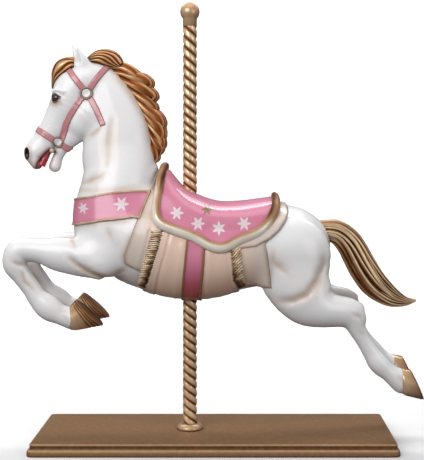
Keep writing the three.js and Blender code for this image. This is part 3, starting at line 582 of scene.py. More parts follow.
def cloth_paint():
    material, tree, shader = paint("blanket beige", 0.34, 0.35)
    spread = parts_of(tree, place_in(tree))
    ends = maths(tree, "ABSOLUTE", maths(tree, "SUBTRACT", spread["X"], 0.035))
    base = mix(tree, ramp(tree, ends, 0.12, 0.20), colour("ebcbb7"), colour("d8c9bc"))
    base = mix(tree, ramp(tree, spread["Z"], 0.620, 0.490, top=0.35), base, colour("a98a74"))
    glazed(tree, shader, wash_over(tree, base, "7b5c45", 1.0, 35.0), 120.0, 0.20, 0.22, 0.14, 0.001)
    return material


def gold_paint(name, bright, body, ground, metallic=0.55, grain=60.0, roughness=0.3, nook_shade=0.85):
    material, tree, shader = paint(name, roughness, 0.05, metallic, **{
        "Specular Tint": colour("5d3d28"), "Specular IOR Level": 0.35})
    gild = use_group(tree, gild_group, {
        "Groove": measure(tree, "groove"), "Bright": colour(bright), "Body": colour(body),
        "Ground": colour(ground), "Grain": grain}).outputs
    # Painted shade: the brown ground laid into the nooks that ambient occlusion finds, such as the gaps
    # between locks.
    occlusion_shade = node(tree, "ShaderNodeAmbientOcclusion", {"Distance": 0.02}, samples=4)
    closed = ramp(tree, occlusion_shade.outputs["AO"], 0.75, 0.25, top=nook_shade)
    tree.links.new(mix(tree, closed, gild["Color"], colour(ground)), shader.inputs["Base Color"])
    tree.links.new(gild["Roughness"], shader.inputs["Roughness"])
    bump(tree, shader, gild["Height"], 0.12, 0.001)
    return material


STARS = [
    (-356, 808, 22, 0.1, "e6d2d8"), (-223, 823, 27, 0.0, "ead9de"), (-37, 794, 25, 0.0, "ead9de"),
    (34, 759, 25, 0.0, "ead9de"), (103, 744, 25, 0.5, "ead9de"), (187, 759, 25, 0.0, "ead9de"),
    (63, 805, 21, 0.0, "8f6a4f"),
]
white = coat_paint()
pink = pink_paint("saddle pink", STARS)
girth_pink = pink_paint("girth pink")
strap_pink = pink_paint("strap pink", light="d49a9a", deep="c07a80")
beige = cloth_paint()
hair_gold = gold_paint("hair gold", "efcd9c", "9c5a2e", "3c1909", metallic=0.3, grain=24.0)
tail_gold = gold_paint("tail gold", "f3dcb4", "8f5c38", "2c150a", metallic=0.35, grain=30.0)
trim_gold = gold_paint("trim gold", "fff8ea", "b98f6a", "5a3826", metallic=0.2, grain=12.0, roughness=0.26)
hoof_gold = gold_paint("hoof gold", "e0c29c", "96643f", "361b0e", metallic=0.4, grain=16.0)
pole_gold = gold_paint("pole gold", "f4dcb6", "ac7650", "381b0d", metallic=0.4, grain=14.0)
base_gold = gold_paint("base gold", "c79f7c", "93704f", "3f281a", metallic=0.15, grain=70.0)
cord_gold = gold_paint("cord gold", "f0dcbc", "9a7250", "341d12", metallic=0.2, grain=40.0, nook_shade=0.3)
print("Finishes mixed:", len(bpy.data.materials))

# %% [markdown]
# The coat is one mesh from the ears to the hocks, with steps of a few millimetres. The head is laid on its
# own finer block, because the face has the smallest forms, and the two meet under the bridle's straps.

# %% The coat
COAT_STEP = 5.3
HEAD_STEP = 2.5
HEAD_OUTLINE = [
    (-700, 1440), (-280, 1440), (-272, 1310), (-313, 1254), (-352, 1199), (-317, 1142), (-294, 1088),
    (-330, 1058), (-366, 1041), (-388, 1012), (-392, 900), (-700, 900),
]


def crease_wash(points):
    """How much wash a point of the skin holds: most along the creases and the tack."""
    x, z = points[:, 0], points[:, 2]
    amount = np.zeros(len(points))
    for width, depth, line in CREASES:
        soft = fading_line(line, 2.0 * width, x, z)
        core = fading_line(line, 0.55 * width, x, z)
        amount = np.maximum(amount, 0.40 * soft + 0.30 * core)
    for line, width, strength in WASH_LINES:
        amount = np.maximum(amount, strength * fading_line(line, width, x, z))
    return amount


WASH_LINES = [  # where the wash lies with no crease under it
    ([(-360, 1040), (-320, 1066), (-286, 1092)], 10, 0.5),
    ([(-410, 745), (-300, 756), (-180, 768)], 9, 0.35),
    ([(-420, 872), (-300, 866), (-150, 878)], 12, 0.35),
    ([(-180, 745), (-214, 650), (-200, 606)], 11, 0.5),
    ([(285, 690), (276, 600), (272, 540)], 11, 0.4),
    ([(560, 412), (580, 395), (604, 380)], 8, 0.4),
    ([(690, 258), (720, 236), (742, 262)], 9, 0.5),
    ([(-450, 470), (-420, 455), (-396, 420)], 10, 0.4),
    ([(-270, 1288), (-205, 1200), (-150, 1110), (-128, 1000)], 13, 0.45),
    ([(540, 522), (574, 508), (596, 484)], 9, 0.9),
]

block = Block((-668, -192, 150), (790, 192, 1350), COAT_STEP)
field = body_field(block)
neck_side = block.side_view(distance_to_outline, HEAD_OUTLINE)
coat = mesh_of(block, np.maximum(field, -neck_side - 6), "coat", white)
keep_edges(coat)
COAT_MEASURES = ("wash", "lips", "dark", "gum")


def plain_coat(piece, wash):
    """The measures that the white glaze reads, with nothing painted but the wash."""
    for label in COAT_MEASURES:
        attribute(piece, label, wash if label == "wash" else 0)


plain_coat(coat, crease_wash(corners_of(coat)))

# %% [markdown]
# The face is carved into the head's own field. The eyeball sits in two lids that leave an almond open, and
# the opening is turned forward as a horse's is. The nostrils are flared rims round a deep hollow, and a
# groove parts the lips. The same shapes tell each point how dark it is painted.

# %% The head
HEAD_LOW, HEAD_HIGH = (-645, -80, 890), (-230, 80, 1400)
EARS = {
    -1: [(-362, 1276, 36, 15, 28), (-371, 1308, 25, 12, 33), (-379, 1337, 12, 8, 36), (-385, 1359, 3, 4, 37)],
    1: [(-384, 1278, 26, 15, 28), (-395, 1316, 17, 12, 33), (-406, 1350, 8, 8, 36), (-414, 1377, 3, 4, 37)],
}
EYE_AXIS = np.array([-0.50, 0.86, 0.06])  # where the eye looks, on the far side; mirrored on the near side
EYE_AXIS /= np.linalg.norm(EYE_AXIS)
MOUTH = [(-484, 1006), (-500, 992), (-514, 976), (-524, 960), (-530, 943)]
GUM = [
    (-484, 1004), (-500, 990), (-513, 975), (-522, 960), (-528, 944), (-507, 936), (-497, 962), (-484, 988),
]
NOSTRIL_RIM = (-556, 22, 994), (16, 15, 25)  # centre and radii
NOSTRIL_HOLE = (-562, 30, 992), (12, 14, 20)
BROW = [(-468, 1206, 6, 8, 36), (-452, 1210, 8, 9, 42), (-430, 1205, 6, 7, 45)]
UPPER_LID, LOWER_LID, LID_CORNER = 0.58, 0.74, 0.98  # how far the opening reaches, in eyeball radii
LID_HEIGHT = 2.6  # how far the lids stand off the eyeball
SOCKET_DEPTH, LIP_GROOVE = 14, 4.0
PAINTED_LINES = {  # lines of the face that only show in the paint
    "chin": [(-488, 948), (-485, 965), (-476, 985), (-470, 998)],
    "chin_edge": [(-490, 940), (-493, 956), (-486, 976), (-478, 992)],
    "muzzle": [(-560, 975), (-548, 955), (-528, 940)],
    "under_eye": [(-474, 1165), (-458, 1158), (-440, 1164)],
}


def eye_opening(px, py, pz):
    """How far inside the almond opening of the lids a point is, and how far from the eyeball's centre."""
    away = px - EYE["x"], np.abs(py) - EYE["y"], pz - EYE["z"]
    side = np.cross(EYE_AXIS, (0, 0, 1.0))
    side /= np.linalg.norm(side)
    reach = np.sqrt(sum(value * value for value in away)) + 1e-6
    u, v, ahead = (sum(value * share for value, share in zip(away, axis)) / reach
                   for axis in (side, np.cross(side, EYE_AXIS), EYE_AXIS))
    lid = np.where(v > 0, UPPER_LID, LOWER_LID) * (1 - (u / LID_CORNER) ** 2)
    return np.where(ahead > 0, (lid - np.abs(v)) * EYE["radius"], -EYE["radius"]), reach


def ellipsoid(px, py, pz, centre, radii):
    scaled = [(value - middle) / radius for value, middle, radius in zip((px, py, pz), centre, radii)]
    length = np.sqrt(sum(value * value for value in scaled))
    return (length - 1) * min(radii)


def head_field_on(block):
    field = smooth_union(body_field(block), block.limb(BROW), 10)
    px, py, pz = np.meshgrid(*block.axes, indexing="ij", sparse=True)
    opening, reach = eye_opening(px, py, pz)
    above = reach - EYE["radius"]
    field = smooth_union(field, smooth_cut(above - LID_HEIGHT, opening, 2), 5)
    field = smooth_cut(field, np.minimum(opening, SOCKET_DEPTH - above), 1.5)
    for ear_side, sections in EARS.items():
        hollow = [(x - 0.5 * wide, z, 0.5 * wide, 0.6 * thick, y + 0.9 * thick)
                  for x, z, wide, thick, y in sections[1:]]
        ear = smooth_cut(block.limb(sections, ear_side), -block.limb(hollow, ear_side), 3)
        field = smooth_union(field, ear, 12)
    field = smooth_union(field, ellipsoid(px, np.abs(py), pz, *NOSTRIL_RIM), 8)
    field = smooth_cut(field, -ellipsoid(px, np.abs(py), pz, *NOSTRIL_HOLE), 3)
    return field + LIP_GROOVE * glow(block.side_view(distance_to_line, MOUTH), 3.2)


head_block = Block(HEAD_LOW, HEAD_HIGH, HEAD_STEP)
head_field = head_field_on(head_block)
head_side = head_block.side_view(distance_to_outline, HEAD_OUTLINE)
head = mesh_of(head_block, np.maximum(head_field, head_side), "head", white)
keep_edges(head)


def face_paint(points):
    """The painted darks of the face: wash round the eye, lips, lid line, nostril and mouth."""
    x, y, z = points.T
    opening, reach = eye_opening(x, y, z)
    lid_line = np.where(reach < EYE["radius"] + 5, glow(opening + 1.2, 1.8), 0)
    hole = ellipsoid(x, np.abs(y), z, *NOSTRIL_HOLE)
    mouth = distance_to_line(MOUTH, x, z)
    gums = distance_to_outline(GUM, x, z)
    off = {label: distance_to_line(line, x, z) for label, line in PAINTED_LINES.items()}
    wash = np.maximum.reduce([
        crease_wash(points), 0.55 * glow(off["under_eye"], 9), 0.5 * glow(off["muzzle"], 12),
        0.75 * glow(mouth, 7), 0.5 * glow(hole - 4, 7)])
    gum = np.clip(0.5 - gums / 2.5, 0, 1)
    lips = np.maximum(0.85 * glow(off["chin"], 11), 0.5 * glow(mouth - 5, 7)) * (1 - gum)
    dark = np.maximum.reduce([
        0.95 * lid_line, np.clip(1.3 - hole / 2.0, 0, 1), 0.95 * glow(mouth, 3.4), 0.7 * glow(gums, 2.0),
        0.8 * glow(off["chin_edge"], 2.4)])
    return wash, lips, dark, gum


for label, values in zip(COAT_MEASURES, face_paint(corners_of(head))):
    attribute(head, label, values)

# %% [markdown]
# The cloth, the girth, the breast collar and the bridle are layers: the body's own field, a few millimetres
# further out, kept inside an outline drawn in the side view. Their bright edges are a second, narrower layer
# that follows the same outline, so a rim never leaves the cloth that it binds.

# %% Outlines of the tack
BLANKET = [
    (-100, 960), (-132, 872), (-153, 806), (-171, 768), (-185, 730), (-214, 654), (-213, 625), (-195, 613),
    (-160, 597), (-163, 400), (168, 400), (172, 537), (278, 544), (275, 577), (265, 655), (257, 694),
    (303, 736), (327, 769), (338, 797), (330, 900), (0, 980),
]
GIRTH = [(-2, 720), (-12, 618), (-27, 501), (-28, 420), (41, 420), (41, 501), (54, 618), (60, 720)]
COLLAR = [
    (-440, 836), (-400, 838), (-338, 848), (-285, 858), (-236, 865), (-188, 868), (-128, 869), (-160, 777),
    (-186, 779), (-234, 772), (-283, 767), (-336, 758), (-400, 747), (-440, 746),
]
STRAPS = [
    (21, [(-277, 1300), (-313, 1254), (-352, 1199), (-371, 1180), (-387, 1156), (-408, 1124), (-424, 1092),
          (-434, 1060), (-444, 1034)]),
    (21, [(-418, 1285), (-386, 1243), (-352, 1199), (-334, 1174), (-317, 1142), (-294, 1088)]),
    (22, [(-535, 1082), (-467, 1039), (-453, 1032), (-402, 996)]),
]
ROSETTES = [(-352, 1199, 21), (-453, 1032, 19)]
RING_WIDTH, STUD_INSET = 4.8, 5
SKIN_DEPTH = 4  # how far a layer reaches into the body
RIM_INSET, RIM_HALF_WIDTH, RIM_ROUNDING = 3, 4, 3


def layer(ground, outline, height, rounding=2.5):
    """The field of a layer that stands a height off the body, inside a side outline given as a distance.
    The ground is a block with the field of the body on it."""
    _, field = ground
    return np.maximum(smooth_cut(field - height, outline, rounding), -field - SKIN_DEPTH)


def laid(name, ground, outline, height, material, rounding=2.5):
    return mesh_of(ground[0], layer(ground, outline, height, rounding), name, material)


def edged(name, ground, outline, height, material, width, strength=0.6, rounding=2.5):
    """A layer inside an outline, with the wash along its edge."""
    piece = laid(name, ground, ground[0].side_view(distance_to_outline, outline), height, material, rounding)
    points = corners_of(piece)
    attribute(piece, "wash", strength * glow(distance_to_outline(outline, points[:, 0], points[:, 2]), width))
    return piece


def rim(name, ground, outline, height, material, groove):
    """The narrow bright edge that follows an outline."""
    band = np.abs(ground[0].side_view(distance_to_outline, outline) + RIM_INSET) - RIM_HALF_WIDTH
    piece = laid(name, ground, band, height, material, RIM_ROUNDING)
    attribute(piece, "groove", groove)
    return piece


# %% [markdown]
# The blanket, the pad that shows below the saddle and the girth are three layers, each a little higher than
# the last. The blanket's sewn channels are lines that raise or lower its height, as piping and seams do.

# %% Blanket and girth
UNDER_PAD = [
    (338, 797), (327, 769), (303, 736), (274, 710), (226, 683), (165, 676), (120, 672), (106, 690),
    (137, 697), (165, 713), (214, 732), (240, 745), (262, 765), (281, 790), (290, 880), (325, 880),
]
SEAMS = [  # width, height, line; a seam with a height below zero is a groove
    (4.5, -3.0, [(-57, 730), (-73, 661), (-93, 597), (-109, 535), (-122, 470)]),
    (4.5, 2.0, [(-66, 730), (-82, 661), (-102, 597), (-118, 535), (-131, 470)]),
    (4.5, 1.6, [(-79, 730), (-97, 661), (-117, 597), (-133, 535), (-146, 470)]),
    (5.0, -2.5, [(-124, 735), (-144, 664), (-164, 597), (-176, 540)]),
    (5.0, -2.5, [(183, 680), (188, 610), (196, 520)]),
    (5.0, -2.0, [(128, 670), (138, 600), (148, 500)]),
    (9.0, 1.6, [(-14, 690), (-32, 610), (-48, 500)]), (9.0, 1.6, [(75, 670), (72, 600), (60, 500)]),
]
CLOTH_STEP = 3.7
cloth_block = Block((-300, -190, 470), (350, 190, 985), CLOTH_STEP)
cloth_field = body_field(cloth_block)
cloth = cloth_block, cloth_field
relief = 5.0
for width, height, line in SEAMS:
    relief = relief + height * glow(cloth_block.side_view(distance_to_line, line), width)
blanket = edged("blanket", cloth, BLANKET, relief, beige, 10)
under_pad = edged("under_pad", cloth, UNDER_PAD, 12, beige, 6, 0.5, rounding=10)
girth = edged("girth", cloth, GIRTH, 8, girth_pink, 9, 0.8)
girth_rim = rim("girth_edges", cloth, GIRTH, 10.5, cord_gold, 0.45)


def half_width(block, field, x, z):
    """Where a line across the horse leaves the solid, or 0 where it misses it."""
    i, k = (int(round((value - block.low[axis]) / block.step)) for value, axis in ((x, 0), (z, 2)))
    y = block.axes[1]
    row = field[i, :, k][y >= 0]
    y = y[y >= 0]
    if row[0] > 0:
        return 0.0
    n = int(np.argmax(row > 0))
    return float(y[n - 1] + (y[n] - y[n - 1]) * row[n - 1] / (row[n - 1] - row[n]))


def nearest_distance(block, field, points):
    """The field's value at the grid point next to each point."""
    spots = np.clip(np.rint((points - block.low) / block.step).astype(int), 0, np.array(field.shape) - 1)
    return field[spots[:, 0], spots[:, 1], spots[:, 2]]


print("Blanket layers laid")

# %% [markdown]
# On the real casting, two cords run down each side of the blanket, laid in short strands of rubbed gold. They
# are the same strand over and over along a line, so Geometry Nodes place them: the line is cut at equal
# steps, and a stretched ball is put at each step, turned to lie flat on the cloth and to lean as the strands
# do.

# %% Cords of the blanket
cord_tree, given, result = new_tree("cord of strands", {
    "Spacing": ("Float", 0.007), "Length": ("Float", 0.022), "Thickness": ("Float", 0.006),
    "Unevenness": ("Float", 0.12), "Seed": ("Int", 4)})
curve = node(cord_tree, "GeometryNodeMeshToCurve", {0: given["Geometry"]})
steps = node(cord_tree, "GeometryNodeResampleCurve", {"Curve": curve.outputs[0], "Length": given["Spacing"]},
             mode="LENGTH")
size = node(cord_tree, "ShaderNodeCombineXYZ", {
    0: given["Length"], 1: given["Thickness"], 2: given["Thickness"]})
strand = node(cord_tree, "GeometryNodeMeshUVSphere", {"Segments": 12, "Rings": 10, "Radius": 0.5})
strand = node(cord_tree, "GeometryNodeTransform", {0: strand.outputs[0], "Scale": size.outputs[0]})
outward, across = (
    node(cord_tree, "GeometryNodeInputNamedAttribute", {"Name": label}, data_type="FLOAT_VECTOR").outputs[0]
    for label in ("outward", "across"))
turn = node(cord_tree, "FunctionNodeAlignRotationToVector", {"Vector": outward}, axis="Z")
turn = node(cord_tree, "FunctionNodeAlignRotationToVector", {"Rotation": turn.outputs[0], "Vector": across},
            axis="X", pivot_axis="Z")
uneven = node(cord_tree, "FunctionNodeRandomValue", {
    2: maths(cord_tree, "SUBTRACT", 1.0, given["Unevenness"]), 3: 1.0, "Seed": given["Seed"]})
strands = node(cord_tree, "GeometryNodeInstanceOnPoints", {
    "Points": steps.outputs[0], "Instance": strand.outputs[0], "Rotation": turn.outputs[0],
    "Scale": uneven.outputs[1]})
finish_tree(cord_tree, given, result, strands.outputs[0])


def cord(name, line, slant, side, values):
    """Strands laid side by side along a line on the blanket; slant is how far each one leans."""
    places = []
    for (x0, z0), (x1, z1) in zip(line[:-1], line[1:]):
        for t in np.arange(8) / 8:
            x, z = x0 + (x1 - x0) * t, z0 + (z1 - z0) * t
            places.append((x, side * (half_width(cloth_block, cloth_field, x, z) + 8), z))
    places = np.array(places)
    along = np.gradient(places, axis=0)
    lean = np.array([math.cos(slant), 0, math.sin(slant)])
    outward = np.cross(along, (1.0, 0, 0))
    outward *= side * np.sign(outward[:, 1])[:, None] / np.linalg.norm(outward, axis=1)[:, None]
    lean = lean - outward * (outward @ lean)[:, None]
    piece = grown(f"{name}_{side}", places, cord_tree, {**values, "Material": cord_gold},
                  {"outward": outward, "across": lean})
    above = nearest_distance(cloth_block, cloth_field, corners_of(piece))
    attribute(piece, "groove", np.clip(1.1 - (above - 7) / 4, 0.0, 1))
    return piece


CORDS = [  # name, line, slant in radians, and the strands' spacing, length and thickness
    ("front_cord", [(-101, 734), (-112, 690), (-127, 640), (-142, 588), (-156, 536)], 0.10, 7.5, 46, 8),
    ("rear_cord", [(158, 682), (162, 640), (166, 590), (172, 535)], 0.85, 9.5, 52, 9),
]
cords = [
    cord(name, line, slant, side, {"Spacing": gap * MM, "Length": length * MM, "Thickness": thick * MM})
    for side in (-1, 1) for name, line, slant, gap, length, thick in CORDS
]

# %% [markdown]
# The breast collar is a rose band round the chest with a gold edge. It could be a strip of faces bent round
# the chest. As a layer of the body's field it lies on the muscles by itself, so it is made as the blanket is.

# %% Breast collar
collar_block = Block((-440, -190, 720), (-120, 190, 890), 3.6)
breast = collar_block, body_field(collar_block)
collar = edged("breast_collar", breast, COLLAR, 6, pink, 8)
collar_rim = rim("collar_edges", breast, COLLAR, 9, trim_gold, 0.3)

# %% [markdown]
# The bridle is three straps that cross at two rings. Each strap is the outline of a centre line with its
# width laid off on both sides. The straps are one layer of the head's field, so they bend over the cheek and
# the nose without a gap.

# %% Bridle
def ribbon(width, line):
    """The outline of a strap: its centre line with half the width laid off on both sides."""
    line = np.array(line, float)
    along = np.gradient(line, axis=0)
    along /= np.linalg.norm(along, axis=1)[:, None]
    shift = np.stack([-along[:, 1], along[:, 0]], 1) * width / 2
    return [tuple(p) for p in np.concatenate([line + shift, (line - shift)[::-1]])]


muzzle = head_block, head_field
ribbons = [ribbon(*strap) for strap in STRAPS]
straps = np.minimum.reduce([head_block.side_view(distance_to_outline, outline) for outline in ribbons])
bridle = laid("bridle", muzzle, straps, 4, strap_pink, 2)
x, _, z = corners_of(bridle).T
edge = np.minimum.reduce([distance_to_outline(outline, x, z) for outline in ribbons])
attribute(bridle, "wash", 0.7 * glow(edge, 2.6))
discs = [head_block.side_view(distance_to_circle, *rosette) for rosette in ROSETTES]
ring_gold = gold_paint("ring gold", "d8cabb", "a08b7b", "54403a", grain=30.0)
rings = [layer(muzzle, np.abs(disc + RING_WIDTH / 2) - RING_WIDTH / 2, 9, 3) for disc in discs]
bridle_rings = mesh_of(head_block, np.minimum.reduce(rings), "bridle_rings", ring_gold)
attribute(bridle_rings, "groove", 0.4)
studs = [layer(muzzle, disc + STUD_INSET, 7, 4) for disc in discs]
bridle_studs = mesh_of(head_block, np.minimum.reduce(studs), "bridle_studs", white)
plain_coat(bridle_studs, 0)

# %% [markdown]
# The saddle is one more chain, blended into the body that has been swollen by its padding. A thick roll
# bounds it. The roll's line lies on the saddle, so each of its points asks the field how wide the saddle is.

# %% Saddle seat
SEAT = [
    (-92, 908, 36, 56, 0), (-68, 872, 40, 80, 0), (-46, 845, 42, 100, 0), (-9, 805, 50, 122, 0),
    (40, 774, 65, 136, 0), (110, 757, 72, 143, 0), (190, 758, 74, 142, 0), (245, 768, 71, 132, 0),
    (284, 790, 54, 112, 0),
]
ROLL = [
    (-88, 949), (-97, 908), (-103, 868), (-107, 800), (-102, 774), (-86, 757), (-44, 740), (8, 722),
    (42, 705), (70, 689), (106, 680), (137, 687), (165, 703), (214, 722), (240, 735), (262, 755),
    (281, 782), (293, 812), (296, 843),
]
SEAT_PADDING, SEAT_THICKNESS = 12, 10
saddle_field = smooth_union(cloth_field - SEAT_PADDING, cloth_block.limb(SEAT), 24)
seat_side = cloth_block.side_view(distance_to_outline, ROLL + [(294, 960), (-88, 980)])
seat = mesh_of(cloth_block, np.maximum.reduce([
    saddle_field, np.broadcast_to(seat_side, saddle_field.shape), -saddle_field - SEAT_THICKNESS]),
    "saddle_seat", pink)
x, _, z = corners_of(seat).T
attribute(seat, "wash", 0.35 * glow(distance_to_line(ROLL, x, z) - 12, 8))

# %% [markdown]
# Rolls, hair and hooves are lofts: rings of points set along a path and joined. Every ring point also gets
# a groove value, 0 on a crest and 1 in a hollow, which the gilding reads for its brown ground.

# %% Lofts
def circle(count):
    return np.linspace(0, 2 * math.pi, count, endpoint=False)


def loft(name, rings, grooves, material, closed=False):
    count, size = len(rings), len(rings[0])
    points = [np.asarray(ring) * MM for ring in rings]
    faces = []
    for band in range(count if closed else count - 1):
        low, high = band * size, ((band + 1) % count) * size
        faces += [(low + n, low + (n + 1) % size, high + (n + 1) % size, high + n) for n in range(size)]
    stack = np.concatenate(points)
    groove = np.concatenate([np.asarray(g) for g in grooves])
    if not closed:
        stack = np.concatenate([stack, points[0].mean(0)[None], points[-1].mean(0)[None]])
        groove = np.concatenate([groove, [groove[:size].mean(), groove[-size:].mean()]])
        first, last = count * size, (count - 1) * size
        faces += [(first, (n + 1) % size, n) for n in range(size)]
        faces += [(first + 1, last + n, last + (n + 1) % size) for n in range(size)]
    piece = new_object(name, stack, faces, material)
    outwards(piece)
    attribute(piece, "groove", groove)
    return piece


def joined(name, parts):
    """Several objects made into one mesh."""
    bpy.ops.object.select_all(action="DESELECT")
    for part in parts:
        part.select_set(True)
    bpy.context.view_layer.objects.active = parts[0]
    bpy.ops.object.join()
    parts[0].name = parts[0].data.name = name
    print(f"{name}: {len(parts[0].data.polygons)} faces")
    return parts[0]


def hair(name, sections, material, sides=24, steps=6, strands=0, depth=0.0, twist=0.0, tone=1.0):
    """A tapering loft through hair sections, with strands carved along it. A section is x, z, half the
    width in the side view, half the width across, and y."""
    path = smooth_chain(sections, steps)
    places = path[:, [0, 4, 1]]
    alongs = np.gradient(places, axis=0)
    rings, grooves = [], []
    for n, (place, along) in enumerate(zip(places, alongs)):
        upward = np.cross(along, (0, 1, 0))
        upward /= np.linalg.norm(upward) + 1e-9
        sideways = np.cross(upward, along)
        sideways /= np.linalg.norm(sideways) + 1e-9
        angle = circle(sides)
        uneven = 0.22 * np.sin(2.0 * angle + 0.09 * n + strands) + 0.10 * np.sin(3.0 * angle - 0.13 * n)
        phase = strands * (angle + uneven + twist * n / len(places))
        hollow = (1 - np.abs(np.cos(phase / 2))) ** 0.8 if strands else np.zeros(sides)
        size = 1 - depth * hollow / max(path[n][2], depth * 2)
        rings.append(place + np.outer(path[n][2] * size * np.cos(angle), upward)
                     + np.outer(path[n][3] * size * np.sin(angle), sideways))
        grooves.append(tone * hollow + 0.34 * (1 - tone))
    return loft(name, rings, grooves, material)


# %% [markdown]
# The roll is a fat bead that binds the saddle, pale on its crown and brown where it meets the cloth. It is a
# flattened ring swept along a closed curve. The curve is cut into equal steps and smoothed, so no ring folds.

# %% Saddle roll
ROLL_WIDTH, ROLL_HEIGHT = 18.0, 14.0
near = [(x, -half_width(cloth_block, saddle_field, x, z), z) for x, z in ROLL[1:-1]]
front, back = ((x, 0, z) for x, z in (ROLL[0], ROLL[-1]))
loop = [front, *near, back] + [(x, -y, z) for x, y, z in reversed(near)]


def closed_curve(points, steps):
    """A closed centripetal curve through the points."""
    count = len(points)
    out = []
    for i in range(count):
        p = [np.array(points[(i + n) % count], float) for n in (-1, 0, 1, 2)]
        t = np.cumsum([0] + [max(np.linalg.norm(b - a), 1e-3) ** 0.5 for a, b in zip(p[:-1], p[1:])])
        for s in np.linspace(t[1], t[2], steps, endpoint=False):
            a = [p[n] * (t[n + 1] - s) / (t[n + 1] - t[n]) + p[n + 1] * (s - t[n]) / (t[n + 1] - t[n])
                 for n in range(3)]
            b = [a[n] * (t[n + 2] - s) / (t[n + 2] - t[n]) + a[n + 1] * (s - t[n]) / (t[n + 2] - t[n])
                 for n in range(2)]
            out.append(b[0] * (t[2] - s) / (t[2] - t[1]) + b[1] * (s - t[1]) / (t[2] - t[1]))
    return np.array(out)


def even_steps(line, count):
    """The same closed line with its points at equal distances, and its small kinks smoothed away."""
    ring = np.concatenate([line, line[:1]])
    travelled = np.concatenate([[0], np.cumsum(np.linalg.norm(np.diff(ring, axis=0), axis=1))])
    spots = np.linspace(0, travelled[-1], count, endpoint=False)
    even = np.stack([np.interp(spots, travelled, ring[:, n]) for n in range(3)], 1)
    return sum(np.roll(even, n, axis=0) for n in range(-2, 3)) / 5


line = even_steps(closed_curve(loop, 8), 260)
middle = np.array([90, 0, 760.0])
angle = circle(24)
rings, grooves = [], []
for n, place in enumerate(line):
    along = line[(n + 1) % len(line)] - line[n - 1]
    outward = place - middle
    outward -= along * (outward @ along) / (along @ along)
    outward /= np.linalg.norm(outward)
    sideways = np.cross(along, outward)
    sideways /= np.linalg.norm(sideways)
    rings.append(place + np.outer(ROLL_HEIGHT * np.cos(angle), outward)
                 + np.outer(ROLL_WIDTH * np.sin(angle), sideways))
    from_z, to_z = (850, 910) if place[0] < 0 else (745, 785)  # the pommel and the cantle end in brown
    ends = np.clip((place[2] - from_z) / (to_z - from_z), 0, 1)
    grooves.append(-0.02 + 0.40 * ends + 0.62 * np.abs(np.sin(angle)) ** 4)
roll = loft("saddle_roll", rings, grooves, trim_gold, closed=True)
print("saddle_roll:", len(roll.data.polygons), "faces")

# %% [markdown]
# The hair is carved in thick locks. Each one is a loft with strands cut along it, twisted a little and spaced
# unevenly, because even strands look turned on a lathe. The tail has a core and seven locks on each side.

# %% Tail, forelock and tuft
TAIL = [
    (440, 728, 38, 26, 0), (505, 722, 48, 34, 0), (551, 683, 54, 38, 0), (597, 601, 58, 40, 0),
    (635, 546, 56, 38, 0), (673, 512, 47, 30, 0), (711, 490, 35, 22, 0), (750, 481, 18, 12, 0),
    (783, 484, 4, 4, 0),
]
FORELOCK = [
    (-388, 1300, 22, 30, 0), (-412, 1302, 28, 36, 0), (-438, 1292, 31, 36, 0), (-456, 1272, 26, 28, 0),
    (-467, 1248, 17, 18, 0), (-477, 1218, 4, 5, 0),
]
TUFT = [
    (-362, 1313, 5, 12, 0), (-338, 1318, 22, 34, 0), (-304, 1322, 36, 42, 0), (-268, 1316, 34, 40, 0),
    (-240, 1298, 18, 30, 0),
]


TAIL_LOCKS = 7  # on each side
TAIL_SPREAD = 0.86  # how far the outermost locks lie from the tail's own line, as a share of its half width
TAIL_WANDER = 0.10
LOCK_SHARE = (0.26, 0.3)  # a lock's half widths, as shares of the tail's


def tail_lock(n, side):
    """A strand of the tail, offset from the tail's own line and wandering a little across it."""
    offset = TAIL_SPREAD * (2 * (n + 0.5) / TAIL_LOCKS - 1)
    last = len(TAIL) - 1
    sections = []
    for i, (x, z, wide, thick, _) in enumerate(TAIL):
        before, after = TAIL[max(i - 1, 0)], TAIL[min(i + 1, last)]
        along = np.array([after[0] - before[0], after[1] - before[1]], float)
        along /= np.linalg.norm(along)
        lean = offset + TAIL_WANDER * math.sin(5.0 * i / last + 1.9 * n + side)
        fill = math.sqrt(max(1 - lean * lean, 0.05))
        size = max(wide * LOCK_SHARE[0], 3.5)
        aside = lean * (wide - size * 0.8)
        sections.append((x - along[1] * aside, z + along[0] * aside, size, max(thick * LOCK_SHARE[1], 3),
                         side * fill * (thick - 4)))
    return hair(f"tail_{n}_{side}", sections, tail_gold, sides=48, steps=7, strands=5, depth=4.6,
                twist=0.5 + 0.25 * (n % 3))


core = hair("tail_core", [(x, z, w * 0.86, t * 0.8, y) for x, z, w, t, y in TAIL], tail_gold, 96, 7, 16, 4)
tail = joined("tail", [core] + [tail_lock(n, side) for n in range(TAIL_LOCKS) for side in (-1, 1)])
forelock, tuft = (
    hair(name, sections, hair_gold, sides=108, steps=12, strands=strands, depth=4.0, twist=0.5, tone=0.95)
    for name, sections, strands in (("forelock", FORELOCK, 11), ("poll_tuft", TUFT, 13)))

# %% [markdown]
# The mane falls in heavy curls that hook back at their tips. Their roots are sunk into the neck, so each one
# rises out of it, and every lock rests on the neck by asking the field how wide the neck is there.

